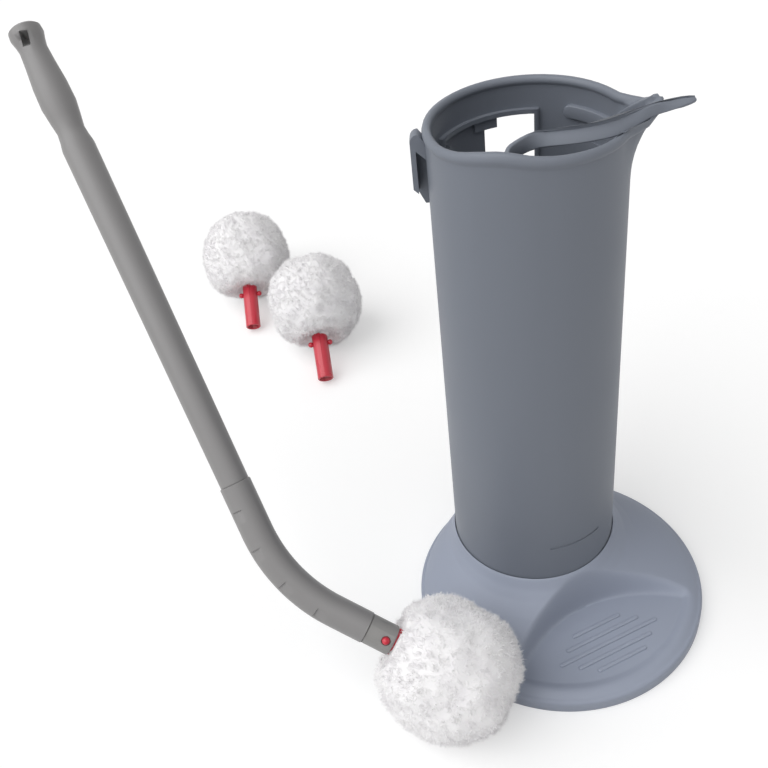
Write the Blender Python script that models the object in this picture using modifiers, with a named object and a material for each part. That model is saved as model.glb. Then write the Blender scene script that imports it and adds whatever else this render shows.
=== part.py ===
"""A swab-head toilet brush, its free-standing holder and two spare swab heads.

Lengths are in metres and angles in degrees, +Z is up. The origin is on the floor on the axis
of the holder's tube, and the foot recess in the holder's base faces -Y.
"""
import math

import bmesh
import bpy
from mathutils import Matrix, Vector

# Fits
CLEARANCE = 0.0003
EMBED = 0.0009
MERGE = 0.00001

# Holder tube
TUBE_RADIUS = 0.0683
TUBE_TOP_RADIUS = 0.0650
TUBE_WALL = 0.003
TUBE_FLOOR = 0.003
RIM_HEIGHT = 0.431
RIM_BEAD = 0.0018
RIM_SHAPE = ((0.50, 1.95), (0.93, 1.45), (1.0, 1.0), (0.75, 0.3), (0.25, 0.0))
TUBE_SIDES = 60
FLARE_RINGS = 6

# Pouring spout in the rim
SPOUT_ANGLE = -30.0
SPOUT_REACH = 0.0190
SPOUT_DEPTH = 0.044
SPOUT_HALF_WIDTH = 27.0
SPOUT_RISE = 0.0070
SPOUT_CURVE = 2.3

# Strap across the mouth, from a rise in the rim to a tip beyond the spout
STRAP_HEIGHT = 0.0095
STRAP_THICKNESS = 0.003
STRAP_TIP_HEIGHT = 0.0045
STRAP_TIP_ROUNDING = 0.010
RIBBON_EDGE = 0.0008
STRAP_ABOVE_RIM = 0.0085
STRAP_OVERHANG = 0.0385
ROOT_ANGLE = -132.0
RIM_RISE = ((-178.0, 0.0), (-163.0, 0.0022), (-150.0, 0.0056), (-139.0, 0.0078), (-130.0, 0.0078), (-119.0, 0.0052),
            (-105.0, 0.0032), (-88.0, 0.0018), (-64.0, 0.0))
REAR_ARM_HEIGHT = 0.0095
REAR_ARM_DEPTH = 0.0035
REAR_ARM_BELOW_RIM = 0.0185
REAR_ARM_START = 34.3
REAR_ARM_LEVEL_END = -5.0
REAR_ARM_END = -29.0

# Window in the rear wall
WINDOW_ANGLE = 90.0
WINDOW_HALF_WIDTH = 36.0
WINDOW_HEIGHT = 0.052
WINDOW_BELOW_RIM = 0.026
FRAME_WIDTH = 0.0032
FRAME_DEPTH = 0.0035
PANEL_SHARE = 0.55
PANEL_RECESS = 0.0012
TAB_WIDTH = 16.0
TAB_HEIGHT = 0.008
BOSS_RADIUS = 0.0028

# Small pocket in the wall below the rear arm
POCKET_ANGLE = 9.0
POCKET_HALF_WIDTH = 6.5
POCKET_HEIGHT = 0.009
POCKET_BELOW_RIM = 0.034
POCKET_DEPTH = 0.0018

# Hanging hook at the back: an outer plate, the bridge that carries it and the web behind them
HOOK_ANGLE = 153.3
HOOK_HALF_ANGLE = 3.9
HOOK_GAP = 0.0067
HOOK_PLATE = 0.0036
HOOK_LENGTH = 0.0385
HOOK_BRIDGE = 0.0115
HOOK_BRIDGE_DROP = 0.0075
HOOK_ROUNDING = 0.0055
HOOK_WEB_ANGLE = 2.2
HOOK_FOOT = 0.0143
HOOK_FOOT_REACH = 0.0026
HOOK_BELOW_RIM = 0.0035

# Groove near the tube's foot
GROOVE_HEIGHT = 0.0915
GROOVE_HALF_ANGLE = 19.7
GROOVE_WIDTH = 0.003
GROOVE_DEPTH = 0.0008

# Base
BASE_RADIUS = 0.121
BASE_OFFSET = 0.041
BASE_EDGE = 0.0095
BASE_WALL = 0.003
COLLAR_HEIGHT = 0.056
SOCKET_FLOOR = 0.004
RECESS_FLOOR = 0.0138
RECESS_ARC_RADIUS = 0.119
RECESS_ARC_TOP = 0.0725
RIM_BAND = 0.010
RIB_COUNT = 5
RIB_PITCH = 0.0091
RIB_CENTRE = 0.1165
RIB_LONGEST = 0.094
RIB_SHORTER = 0.024
RIB_WIDTH = 0.0032
RIB_HEIGHT = 0.0011
STIFFENER_COUNT = 8
STIFFENER_WIDTH = 0.0025
BASE_SIDES = 60
DOME_SHAPE = ((0.0, 1.0), (0.06, 0.82), (0.15, 0.67), (0.30, 0.54), (0.50, 0.42), (0.70, 0.30), (0.88, 0.18),
              (0.97, 0.10), (1.0, 0.0))

# Screws that hold the tube down in the base
SCREW_COUNT = 3
SCREW_CIRCLE = 0.040
SCREW_RADIUS = 0.0016
SCREW_HEAD = 0.0034
SCREW_HEAD_HEIGHT = 0.0014
SCREW_LENGTH = 0.0115
BOSS_HEIGHT = 0.010
SCREW_BOSS_RADIUS = 0.0042

# Swab head, in its own frame: the buttons are at the origin and the stem's open end is up
CORE_RADIUS = 0.009
CORE_WALL = 0.0022
STEM_LENGTH = 0.044
PILE_RADIUS = 0.056
PILE_LENGTH = 0.111
PILE_TOP = 0.001
PILE_SEAT = 0.010
DIMPLE_RADIUS = 0.015
CORE_IN_PILE = 0.052
SHOULDER_RADIUS = 0.0108
TONGUE_HALF_ANGLE = 24.0
TONGUE_ROOT = 0.026
TONGUE_TIP = 0.0048
BUTTON_RADIUS = 0.0032
BUTTON_OUT = 0.0053
BINDING_HEIGHT = 0.008
BINDING_THICKNESS = 0.0022
BINDING_DEPTH = 0.006
CORE_SIDES = 24
PILE_SIDES = 24
PILE_RINGS = 10
PILE_CROWN = 0.14
PILE_FULLNESS = 0.85
PILE_LUMP = 0.0016
TONGUE_TRAVEL = 12.0

# Brush handle
COLLAR_RADIUS = 0.0118
COLLAR_MOUTH = 0.0065
COLLAR_TOP = 0.0155
CONNECTOR_LENGTH = 0.034
CONNECTOR_RADIUS = 0.0105
SLEEVE_RADIUS = 0.0124
SLEEVE_WALL = 0.0016
SLEEVE_LOWER = 0.0285
SLEEVE_UPPER = 0.040
BEND_RADIUS = 0.131
BEND_ANGLE = 38.1
SLEEVE_SIDES = 20
NOTCH_COUNT = 5
NOTCH_PITCH = 0.0315
NOTCH_FIRST = 0.018
NOTCH_LENGTH = 0.010
NOTCH_WIDTH = 0.006
NOTCH_DEPTH = 0.0011
TUBE_LENGTH = 0.384
HANDLE_LOW_RADIUS = 0.01145
HANDLE_HIGH_RADIUS = 0.0128
HANDLE_WALL = 0.002
SPIGOT_LENGTH = 0.034
GRIP_SOLID = 0.032
GRIP_STATIONS = ((0.0, 0.0110), (0.0015, 0.0128), (0.0065, 0.0133), (0.0120, 0.0118), (0.0180, 0.0108),
                 (0.0300, 0.0116), (0.0480, 0.0133), (0.0640, 0.0137), (0.0760, 0.0122), (0.0860, 0.0107),
                 (0.0930, 0.0115), (0.1000, 0.0128))
HANDLE_SIDES = 24
HANG_HOLE_DEPTH = 0.0125
HANG_HOLE_LENGTH = 0.011
HANG_HOLE_WIDTH = 0.0062

# Where the brush and the spare swab heads stand
BRUSH_BEARING = 188.456
BRUSH_OVERHANG = 0.00291
BRUSH_TURN = -19.7
BRUSH_LEAN_BACK = 40.0
STEM_LEAN = 54.7
SPARE_PLACES = ((-0.0967, 0.511), (-0.0585, 0.3684))
SPARE_TURNS = (-110.0, -108.0)

# Colours: base colour, roughness
HOLDER_GREY = ((0.175, 0.195, 0.230), 0.50)
BASE_GREY = ((0.205, 0.225, 0.280), 0.55)
HANDLE_GREY = ((0.150, 0.148, 0.138), 0.42)
COLLAR_GREY = ((0.210, 0.205, 0.195), 0.45)
CORE_RED = ((0.600, 0.030, 0.055), 0.35)
PILE_WHITE = ((0.880, 0.870, 0.900), 0.95)
BINDING_WHITE = ((0.800, 0.800, 0.780), 0.60)
STEEL = ((0.560, 0.560, 0.570), 0.30)


def clear_scene():
    for thing in list(bpy.data.objects):
        bpy.data.objects.remove(thing)


def new_collection(name):
    collection = bpy.data.collections.new(name)
    bpy.context.scene.collection.children.link(collection)
    return collection


def make_material(name, finish, metallic=0.0):
    colour, roughness = finish
    material = bpy.data.materials.new(name)
    material.use_nodes = True
    shader = material.node_tree.nodes["Principled BSDF"]
    shader.inputs["Base Color"].default_value = (*colour, 1.0)
    shader.inputs["Roughness"].default_value = roughness
    shader.inputs["Metallic"].default_value = metallic
    return material


clear_scene()
PARTS = new_collection("toilet_brush_set")
CUTTERS = new_collection("cutters")
MATERIALS = {
    "holder_grey": make_material("holder_grey", HOLDER_GREY),
    "base_grey": make_material("base_grey", BASE_GREY),
    "handle_grey": make_material("handle_grey", HANDLE_GREY),
    "collar_grey": make_material("collar_grey", COLLAR_GREY),
    "core_red": make_material("core_red", CORE_RED),
    "pile_white": make_material("pile_white", PILE_WHITE),
    "binding_white": make_material("binding_white", BINDING_WHITE),
    "steel": make_material("steel", STEEL, metallic=1.0),
}


def polar(radius, angle, height=0.0):
    turn = math.radians(angle)
    return Vector((radius * math.cos(turn), radius * math.sin(turn), height))


def new_object(name, mesh, collection=PARTS, material=None):
    thing = bpy.data.objects.new(name, mesh)
    collection.objects.link(thing)
    if collection is CUTTERS:
        thing.hide_render = True
        thing.display_type = "WIRE"
    if material:
        thing.data.materials.clear()
        thing.data.materials.append(MATERIALS[material])
    return thing


def mesh_from(maker, name):
    """A mesh filled by maker(bm), with its faces turned outwards."""
    bm = bmesh.new()
    maker(bm)
    bmesh.ops.remove_doubles(bm, verts=bm.verts, dist=MERGE)
    bmesh.ops.recalc_face_normals(bm, faces=bm.faces)
    mesh = bpy.data.meshes.new(name)
    bm.to_mesh(mesh)
    bm.free()
    return mesh


def applied(thing):
    """The object again, with its modifiers applied and its vertices merged."""
    bpy.context.view_layer.update()
    graph = bpy.context.evaluated_depsgraph_get()
    mesh = bpy.data.meshes.new_from_object(thing.evaluated_get(graph))
    bm = bmesh.new()
    bm.from_mesh(mesh)
    bmesh.ops.remove_doubles(bm, verts=bm.verts, dist=MERGE)
    bm.to_mesh(mesh)
    bm.free()
    thing.modifiers.clear()
    thing.data = mesh
    return thing


def turned(name, profile, sides, collection=PARTS, material=None):
    """A solid turned round Z from (radius, height) points that run down its outer side."""
    mesh = bpy.data.meshes.new(name)
    points = [(radius, 0.0, height) for radius, height in profile]
    mesh.from_pydata(points, [(i, i + 1) for i in range(len(points) - 1)], [])
    thing = new_object(name, mesh, collection, material)
    screw = thing.modifiers.new("turn", "SCREW")
    screw.steps = sides
    screw.render_steps = sides
    screw.use_merge_vertices = True
    screw.merge_threshold = MERGE
    return applied(thing)


def ring_block(name, inner, outer, start, end, low, high, collection=CUTTERS, step=6.0):
    """A block bent round Z between two radii, two angles and two heights."""
    def fill(bm):
        corners = [polar(inner, start, low), polar(outer, start, low), polar(outer, start, high),
                   polar(inner, start, high)]
        face = bm.faces.new([bm.verts.new(corner) for corner in corners])
        steps = max(1, math.ceil((end - start) / step))
        bmesh.ops.spin(bm, geom=[face, *face.edges, *face.verts], axis=(0, 0, 1), cent=(0, 0, 0),
                       angle=math.radians(end - start), steps=steps, use_duplicate=False)
    return new_object(name, mesh_from(fill, name), collection)


def box(name, size, place, collection=CUTTERS, bevel=0.0, turn=0.0):
    """A box of the given size about a place, turned round Z, with its edges rounded by bevel."""
    def fill(bm):
        bmesh.ops.create_cube(bm, size=1.0, matrix=Matrix.Diagonal((*size, 1.0)))
        if bevel:
            bmesh.ops.bevel(bm, geom=bm.edges, offset=bevel, segments=2, affect="EDGES", profile=0.5)
        spin = Matrix.Translation(place) @ Matrix.Rotation(math.radians(turn), 4, "Z")
        bmesh.ops.transform(bm, matrix=spin, verts=bm.verts)
    return new_object(name, mesh_from(fill, name), collection)


def cylinder(name, radius, low, high, place=(0.0, 0.0), collection=CUTTERS, sides=24, axis="Z"):
    def fill(bm):
        bmesh.ops.create_cone(bm, cap_ends=True, segments=sides, radius1=radius, radius2=radius,
                              depth=high - low)
        bmesh.ops.translate(bm, vec=(0, 0, (high + low) / 2), verts=bm.verts)
        if axis == "Y":
            bmesh.ops.rotate(bm, matrix=Matrix.Rotation(math.radians(90), 3, "X"), verts=bm.verts)
        bmesh.ops.translate(bm, vec=(place[0], place[1], 0), verts=bm.verts)
    return new_object(name, mesh_from(fill, name), collection)


def combine(thing, other, operation):
    modifier = thing.modifiers.new(f"{operation.lower()}_{other.name}", "BOOLEAN")
    modifier.operation = operation
    modifier.object = other
    modifier.solver = "EXACT"


def build_up(thing, added=(), removed=()):
    """Unites the added shapes with the object, then cuts the removed ones out of it."""
    for other in added:
        combine(thing, other, "UNION")
    for other in removed:
        combine(thing, other, "DIFFERENCE")
    return applied(thing)


def smooth(thing, angle=35.0):
    thing.data.shade_smooth()
    thing.data.set_sharp_from_angle(angle=math.radians(angle))
    return thing


def hill(angle, middle, half_width):
    """1 at the middle angle, falling smoothly to 0 at half_width to either side."""
    away = abs((angle - middle + 180.0) % 360.0 - 180.0)
    if away >= half_width:
        return 0.0
    return math.cos(math.pi / 2 * away / half_width) ** 2


def flare(angle, height):
    """How far the wall stands out, as the spout, at an angle and a height."""
    start = RIM_HEIGHT - SPOUT_DEPTH
    if height <= start:
        return 0.0
    return SPOUT_REACH * ((height - start) / SPOUT_DEPTH) ** SPOUT_CURVE * hill(angle, SPOUT_ANGLE, SPOUT_HALF_WIDTH)


def rise(angle):
    """How far the rim stands above its own level at an angle."""
    height = SPOUT_RISE * hill(angle, SPOUT_ANGLE, SPOUT_HALF_WIDTH / 2)
    for (start, low), (end, high) in zip(RIM_RISE, RIM_RISE[1:]):
        if start <= angle < end:
            height += low + (high - low) * (angle - start) / (end - start)
    return height


def draft(height):
    """The tube's width at a height, as a share of its width at the foot."""
    share = max(0.0, (height - COLLAR_HEIGHT) / (RIM_HEIGHT - COLLAR_HEIGHT))
    return 1.0 - (1.0 - TUBE_TOP_RADIUS / TUBE_RADIUS) * share


def ribbon(name, path, lows, highs, thickness):
    """An upright strip of the given thickness along a plan path, between low and high edges."""
    def fill(bm):
        lower = [bm.verts.new((x, y, low)) for (x, y), low in zip(path, lows)]
        upper = [bm.verts.new((x, y, high)) for (x, y), high in zip(path, highs)]
        for i in range(len(path) - 1):
            bm.faces.new((lower[i], lower[i + 1], upper[i + 1], upper[i]))
    thing = new_object(name, mesh_from(fill, name), CUTTERS)
    solid = thing.modifiers.new("thickness", "SOLIDIFY")
    solid.thickness = thickness
    solid.offset = 0.0
    solid.use_even_offset = True
    edge = thing.modifiers.new("edge", "BEVEL")
    edge.width = RIBBON_EDGE
    edge.segments = 2
    edge.limit_method = "ANGLE"
    edge.angle_limit = math.radians(50)
    return applied(thing)


def smooth_path(points, count):
    """Points along a smooth curve through the given plan points."""
    curve = []
    for i in range(len(points) - 1):
        before = Vector(points[max(i - 1, 0)])
        start = Vector(points[i])
        end = Vector(points[i + 1])
        after = Vector(points[min(i + 2, len(points) - 1)])
        for k in range(count):
            t = k / count
            curve.append(0.5 * (2 * start + (end - before) * t + (2 * before - 5 * start + 4 * end - after) * t ** 2
                                + (3 * start - before - 3 * end + after) * t ** 3))
    curve.append(Vector(points[-1]))
    return [(point.x, point.y) for point in curve]


TUBE_BOTTOM = SOCKET_FLOOR + CLEARANCE
TUBE_INSIDE = TUBE_RADIUS - TUBE_WALL
MID_WALL = TUBE_RADIUS - TUBE_WALL / 2
WINDOW_TOP = RIM_HEIGHT - WINDOW_BELOW_RIM
WINDOW_BOTTOM = WINDOW_TOP - WINDOW_HEIGHT


def strap():
    """The strap that runs from the rise in the rim, across the mouth, to a tip past the spout."""
    tip = TUBE_RADIUS + STRAP_OVERHANG
    root = polar(MID_WALL, ROOT_ANGLE - SPOUT_ANGLE)
    along = [(root.x, root.y), (root.x + 0.20 * (0.0 - root.x), -0.78 * TUBE_RADIUS),
             (0.07 * TUBE_RADIUS, -0.60 * TUBE_RADIUS), (0.45 * TUBE_RADIUS, -0.545 * TUBE_RADIUS),
             (0.73 * TUBE_RADIUS, -0.455 * TUBE_RADIUS), (1.00 * TUBE_RADIUS, -0.275 * TUBE_RADIUS),
             (1.27 * TUBE_RADIUS, -0.13 * TUBE_RADIUS), (tip, -0.045 * TUBE_RADIUS)]
    path = smooth_path(along, 4)
    turn = math.radians(SPOUT_ANGLE)
    turned_path = [(x * math.cos(turn) - y * math.sin(turn), x * math.sin(turn) + y * math.cos(turn))
                   for x, y in path]
    top = RIM_HEIGHT + STRAP_ABOVE_RIM
    lows = []
    highs = []
    for x, _ in path:
        taper = max(0.0, (x - 0.8 * TUBE_RADIUS) / (tip - 0.8 * TUBE_RADIUS))
        near_root = max(0.0, 1.0 - (x - root.x) / (0.25 * TUBE_RADIUS))
        high = top - 0.002 * near_root
        low = top - STRAP_HEIGHT + (STRAP_HEIGHT - STRAP_TIP_HEIGHT) * taper - 0.004 * near_root
        past = max(0.0, (x - tip + STRAP_TIP_ROUNDING) / STRAP_TIP_ROUNDING)
        half = (high - low) / 2 * math.sqrt(1.0 - 0.75 * min(1.0, past) ** 2)
        highs.append((high + low) / 2 + half)
        lows.append((high + low) / 2 - half)
    return ribbon("strap_shape", turned_path, lows, highs, STRAP_THICKNESS)


def rear_arm():
    """The lower arm that runs along the inside of the wall and climbs into the spout."""
    steps = 30
    thickness = REAR_ARM_DEPTH + EMBED
    path = []
    middles = []
    for i in range(steps + 1):
        angle = REAR_ARM_START + (REAR_ARM_END - REAR_ARM_START) * i / steps
        climb = max(0.0, (REAR_ARM_LEVEL_END - angle) / (REAR_ARM_LEVEL_END - REAR_ARM_END))
        high = RIM_HEIGHT - REAR_ARM_BELOW_RIM + climb * (REAR_ARM_BELOW_RIM + SPOUT_RISE + 0.003)
        middle = min(high - REAR_ARM_HEIGHT / 2, RIM_HEIGHT)
        radius = TUBE_INSIDE + EMBED - thickness / 2 + flare(angle, middle)
        spot = polar(radius, angle)
        path.append((spot.x, spot.y))
        middles.append(high - REAR_ARM_HEIGHT / 2)
    lows = []
    highs = []
    for spot, middle in zip(path, middles):
        to_end = min(math.dist(spot, path[0]), math.dist(spot, path[-1])) / (REAR_ARM_HEIGHT / 2)
        half = REAR_ARM_HEIGHT / 2 * math.sqrt(max(0.12, 1.0 - max(0.0, 1.0 - to_end) ** 2))
        lows.append(middle - half)
        highs.append(middle + half)
    return ribbon("rear_arm_shape", path, lows, highs, thickness)


def swept(name, outline, start, end):
    """A solid with the outline, given as radius and height, swept round the tube between two angles."""
    def fill(bm):
        turn = Matrix.Rotation(math.radians(start), 3, "Z")
        face = bm.faces.new([bm.verts.new(turn @ Vector((radius, 0, height))) for radius, height in outline])
        bmesh.ops.spin(bm, geom=[face, *face.edges, *face.verts], axis=(0, 0, 1), cent=(0, 0, 0),
                       angle=math.radians(end - start), steps=4, use_duplicate=False)
        bmesh.ops.recalc_face_normals(bm, faces=bm.faces)
    return new_object(name, mesh_from(fill, name), CUTTERS)


def hook():
    """The hanging hook: a bridge out from the wall, the plate that hangs from it and a web behind them."""
    top = RIM_HEIGHT - HOOK_BELOW_RIM
    wall = TUBE_RADIUS - EMBED
    inner = TUBE_RADIUS + HOOK_GAP
    outer = inner + HOOK_PLATE
    low = top - HOOK_LENGTH
    start = HOOK_ANGLE - HOOK_HALF_ANGLE
    end = HOOK_ANGLE + HOOK_HALF_ANGLE
    crown = []
    for i in range(5):
        turn = math.pi / 2 * i / 4
        crown.append((outer - HOOK_ROUNDING * (1 - math.cos(turn)), top - HOOK_ROUNDING * (1 - math.sin(turn))))
    plate_outline = [(inner, low - HOOK_PLATE), (outer, low), *crown, (wall, top - HOOK_BRIDGE_DROP),
                     (wall, top - HOOK_BRIDGE - HOOK_BRIDGE_DROP), (inner, top - HOOK_BRIDGE)]
    web_outer = outer - EMBED
    web_outline = [(wall, low - HOOK_FOOT), (TUBE_RADIUS + HOOK_FOOT_REACH, low - HOOK_FOOT), (web_outer, low),
                   (web_outer, top - HOOK_ROUNDING), (inner, top - HOOK_BRIDGE / 2),
                   (wall, top - HOOK_BRIDGE_DROP - EMBED)]
    plate = swept("hook_shape", plate_outline, start, end)
    web = swept("hook_web_shape", web_outline, start + 0.3, start + HOOK_WEB_ANGLE)
    return build_up(plate, added=[web])


def window_border():
    """The raised block inside the wall that the window is cut through, so that it leaves a frame."""
    edge = math.degrees(FRAME_WIDTH / TUBE_INSIDE)
    return ring_block("frame_shape", TUBE_INSIDE - FRAME_DEPTH, TUBE_INSIDE + EMBED,
                      WINDOW_ANGLE - WINDOW_HALF_WIDTH - edge, WINDOW_ANGLE + WINDOW_HALF_WIDTH + edge,
                      WINDOW_BOTTOM - FRAME_WIDTH, WINDOW_TOP + FRAME_WIDTH)


def holder_tube():
    """The cup-shaped tube with its spout, strap, rear arm, hook and framed window."""
    top_straight = RIM_HEIGHT - SPOUT_DEPTH
    rings = [top_straight + SPOUT_DEPTH * i / FLARE_RINGS for i in range(FLARE_RINGS)]
    middle = (TUBE_INSIDE + TUBE_RADIUS) / 2
    bead = TUBE_WALL / 2 + RIM_BEAD
    inner_bead = []
    outer_bead = []
    for across, drop in RIM_SHAPE:
        inner_bead.append((middle - bead * across, RIM_HEIGHT - bead * drop))
        outer_bead.append((middle + bead * across, RIM_HEIGHT - bead * drop))
    profile = [(0.0, TUBE_BOTTOM + TUBE_FLOOR), (TUBE_INSIDE, TUBE_BOTTOM + TUBE_FLOOR)]
    profile += [(TUBE_INSIDE, height) for height in rings]
    profile += inner_bead + list(reversed(outer_bead))
    profile += [(TUBE_RADIUS, height) for height in reversed(rings)]
    profile += [(TUBE_RADIUS, TUBE_BOTTOM), (0.0, TUBE_BOTTOM)]
    tube = turned("holder_tube", profile, TUBE_SIDES, material="holder_grey")
    for vertex in tube.data.vertices:
        spot = vertex.co
        if spot.z <= top_straight:
            continue
        angle = math.degrees(math.atan2(spot.y, spot.x))
        radius = math.hypot(spot.x, spot.y) + flare(angle, min(spot.z, RIM_HEIGHT))
        share = (spot.z - top_straight) / SPOUT_DEPTH
        moved = polar(radius, angle, spot.z + rise(angle) * share ** 2)
        vertex.co = moved

    start = WINDOW_ANGLE - WINDOW_HALF_WIDTH
    end = WINDOW_ANGLE + WINDOW_HALF_WIDTH
    split = start + 2 * WINDOW_HALF_WIDTH * (1.0 - PANEL_SHARE)
    tab = ring_block("tab_shape", TUBE_INSIDE - 0.0010, TUBE_RADIUS - EMBED, split - TAB_WIDTH / 2,
                     split + TAB_WIDTH / 2, WINDOW_TOP - TAB_HEIGHT, WINDOW_TOP + EMBED)
    opening = ring_block("window_cut", TUBE_INSIDE - FRAME_DEPTH * 2, TUBE_RADIUS + TUBE_WALL, start, split,
                         WINDOW_BOTTOM, WINDOW_TOP)
    panel = ring_block("panel_cut", TUBE_INSIDE - FRAME_DEPTH * 2, TUBE_INSIDE + PANEL_RECESS, split - 2.0, end,
                       WINDOW_BOTTOM, WINDOW_TOP)
    pocket_top = RIM_HEIGHT - POCKET_BELOW_RIM
    pocket = ring_block("pocket_cut", TUBE_INSIDE - POCKET_DEPTH, TUBE_INSIDE + POCKET_DEPTH,
                        POCKET_ANGLE - POCKET_HALF_WIDTH, POCKET_ANGLE + POCKET_HALF_WIDTH,
                        pocket_top - POCKET_HEIGHT, pocket_top)
    groove = ring_block("groove_cut", TUBE_RADIUS - GROOVE_DEPTH, TUBE_RADIUS + GROOVE_DEPTH,
                        -90.0 - GROOVE_HALF_ANGLE, -90.0 + GROOVE_HALF_ANGLE, GROOVE_HEIGHT - GROOVE_WIDTH / 2,
                        GROOVE_HEIGHT + GROOVE_WIDTH / 2)
    boss_place = polar(TUBE_INSIDE + PANEL_RECESS, end - 8.0, WINDOW_TOP - 0.010)
    boss = cylinder("boss_shape", BOSS_RADIUS, -FRAME_DEPTH, EMBED, sides=12)
    boss.data.transform(Matrix.Rotation(math.radians(90), 4, "Y"))
    boss.data.transform(Matrix.Rotation(math.radians(end - 8.0), 4, "Z"))
    boss.data.transform(Matrix.Translation(boss_place))
    bosses = []
    bores = []
    floor = TUBE_BOTTOM + TUBE_FLOOR
    for i in range(SCREW_COUNT):
        spot = polar(SCREW_CIRCLE, 90.0 + 360.0 * i / SCREW_COUNT)
        bosses.append(cylinder(f"screw_boss_{i}", SCREW_BOSS_RADIUS, floor - EMBED, TUBE_BOTTOM + BOSS_HEIGHT,
                               (spot.x, spot.y), sides=16))
        bores.append(cylinder(f"screw_bore_{i}", SCREW_RADIUS + CLEARANCE, TUBE_BOTTOM - EMBED,
                              TUBE_BOTTOM + BOSS_HEIGHT - 0.0015, (spot.x, spot.y), sides=12))
    build_up(tube, added=[window_border()], removed=[opening, panel, pocket, groove])
    build_up(tube, added=[tab, strap(), rear_arm(), hook(), *bosses])
    build_up(tube, added=[boss], removed=bores)
    for vertex in tube.data.vertices:
        share = draft(vertex.co.z)
        vertex.co = (vertex.co.x * share, vertex.co.y * share, vertex.co.z)
    return smooth(tube)


def dome_ring(share, height, inset=0.0):
    """One ring of the base's top: its radius, its centre's place along Y and its height."""
    inner = TUBE_RADIUS + CLEARANCE
    radius = inner + (BASE_RADIUS - inner) * share - inset
    return radius, -BASE_OFFSET * share, height


def dome(name, inset, bottom, collection, material=None):
    """The base's body: rings that run from the tube's collar out to the eccentric round edge."""
    rings = [dome_ring(share, BASE_EDGE + (COLLAR_HEIGHT - BASE_EDGE) * level - inset, inset)
             for share, level in DOME_SHAPE]
    edge_radius = BASE_RADIUS - inset
    rings.append((edge_radius, -BASE_OFFSET, bottom))

    def fill(bm):
        loops = []
        for radius, centre, height in rings:
            loops.append([bm.verts.new(polar(radius, 360.0 * i / BASE_SIDES, height) + Vector((0, centre, 0)))
                          for i in range(BASE_SIDES)])
        for upper, lower in zip(loops, loops[1:]):
            for i in range(BASE_SIDES):
                j = (i + 1) % BASE_SIDES
                bm.faces.new((upper[i], lower[i], lower[j], upper[j]))
        bm.faces.new(loops[0])
        bm.faces.new(list(reversed(loops[-1])))
    return new_object(name, mesh_from(fill, name), collection, material)


def recess_shape(name, grow, low, high):
    """The lens-shaped foot recess between the heel arc and the base's rim band, grown by a margin."""
    heel = RECESS_ARC_RADIUS + grow
    centre = -(RECESS_ARC_TOP + RECESS_ARC_RADIUS)
    lens = cylinder(name, heel, low, high, (0, centre), sides=72)
    band = cylinder(f"{name}_band", BASE_RADIUS - RIM_BAND + grow, low - EMBED, high + EMBED,
                    (0, -BASE_OFFSET), sides=72)
    combine(lens, band, "INTERSECT")
    return applied(lens)


def base_plate():
    """The round base: a hollow dome with the tube's socket, a foot recess, grip ribs and stiffeners."""
    base = dome("base_plate", 0.0, 0.0, PARTS, "base_grey")
    hollow = dome("base_hollow", BASE_WALL, -EMBED, CUTTERS)
    socket = TUBE_RADIUS + CLEARANCE
    keep_socket = cylinder("socket_wall", socket + BASE_WALL, -2 * EMBED, COLLAR_HEIGHT, sides=BASE_SIDES)
    keep_recess = recess_shape("recess_wall", BASE_WALL, RECESS_FLOOR - BASE_WALL, COLLAR_HEIGHT)
    build_up(hollow, removed=[keep_socket, keep_recess])
    stiffeners = []
    reach = BASE_RADIUS + BASE_OFFSET
    for i in range(STIFFENER_COUNT):
        angle = 360.0 * (i + 0.5) / STIFFENER_COUNT
        place = polar(socket + reach / 2, angle, COLLAR_HEIGHT / 2)
        rib = box(f"stiffener_{i}", (reach, STIFFENER_WIDTH, COLLAR_HEIGHT + 4 * EMBED), place, turn=angle)
        stiffeners.append(rib)
    build_up(hollow, removed=stiffeners)
    well = cylinder("socket_cut", socket, SOCKET_FLOOR, COLLAR_HEIGHT + EMBED, sides=BASE_SIDES)
    recess = recess_shape("recess_cut", 0.0, RECESS_FLOOR, COLLAR_HEIGHT + EMBED)
    build_up(base, removed=[recess, hollow, well])
    ribs = []
    for i in range(RIB_COUNT):
        from_middle = i - (RIB_COUNT - 1) / 2
        length = RIB_LONGEST - RIB_SHORTER * abs(from_middle)
        place = (0, -RIB_CENTRE - RIB_PITCH * from_middle, RECESS_FLOOR + RIB_HEIGHT / 2 - EMBED / 2)
        ribs.append(box(f"grip_rib_{i}", (length, RIB_WIDTH, RIB_HEIGHT + EMBED), place, bevel=RIB_HEIGHT * 0.4))
    holes = []
    for i in range(SCREW_COUNT):
        spot = polar(SCREW_CIRCLE, 90.0 + 360.0 * i / SCREW_COUNT)
        holes.append(cylinder(f"screw_hole_{i}", SCREW_RADIUS + CLEARANCE, -EMBED, SOCKET_FLOOR + EMBED,
                              (spot.x, spot.y), sides=12))
        holes.append(cylinder(f"screw_seat_{i}", SCREW_HEAD + CLEARANCE, -EMBED,
                              SCREW_HEAD_HEIGHT + CLEARANCE * 2, (spot.x, spot.y), sides=16))
    build_up(base, added=ribs, removed=holes)
    return smooth(base, 22.0)


def base_screw(number):
    """One of the screws from below that hold the tube in the base."""
    spot = polar(SCREW_CIRCLE, 90.0 + 360.0 * number / SCREW_COUNT)
    place = (spot.x, spot.y)
    head_top = CLEARANCE + SCREW_HEAD_HEIGHT
    screw = cylinder(f"base_screw_{number + 1}", SCREW_HEAD, CLEARANCE, head_top, place, PARTS, 16)
    screw.data.materials.append(MATERIALS["steel"])
    shank = cylinder(f"screw_shank_{number}", SCREW_RADIUS, head_top - SCREW_HEAD_HEIGHT / 2,
                     CLEARANCE + SCREW_LENGTH, place, sides=12)
    build_up(screw, added=[shank])
    return smooth(screw)


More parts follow.
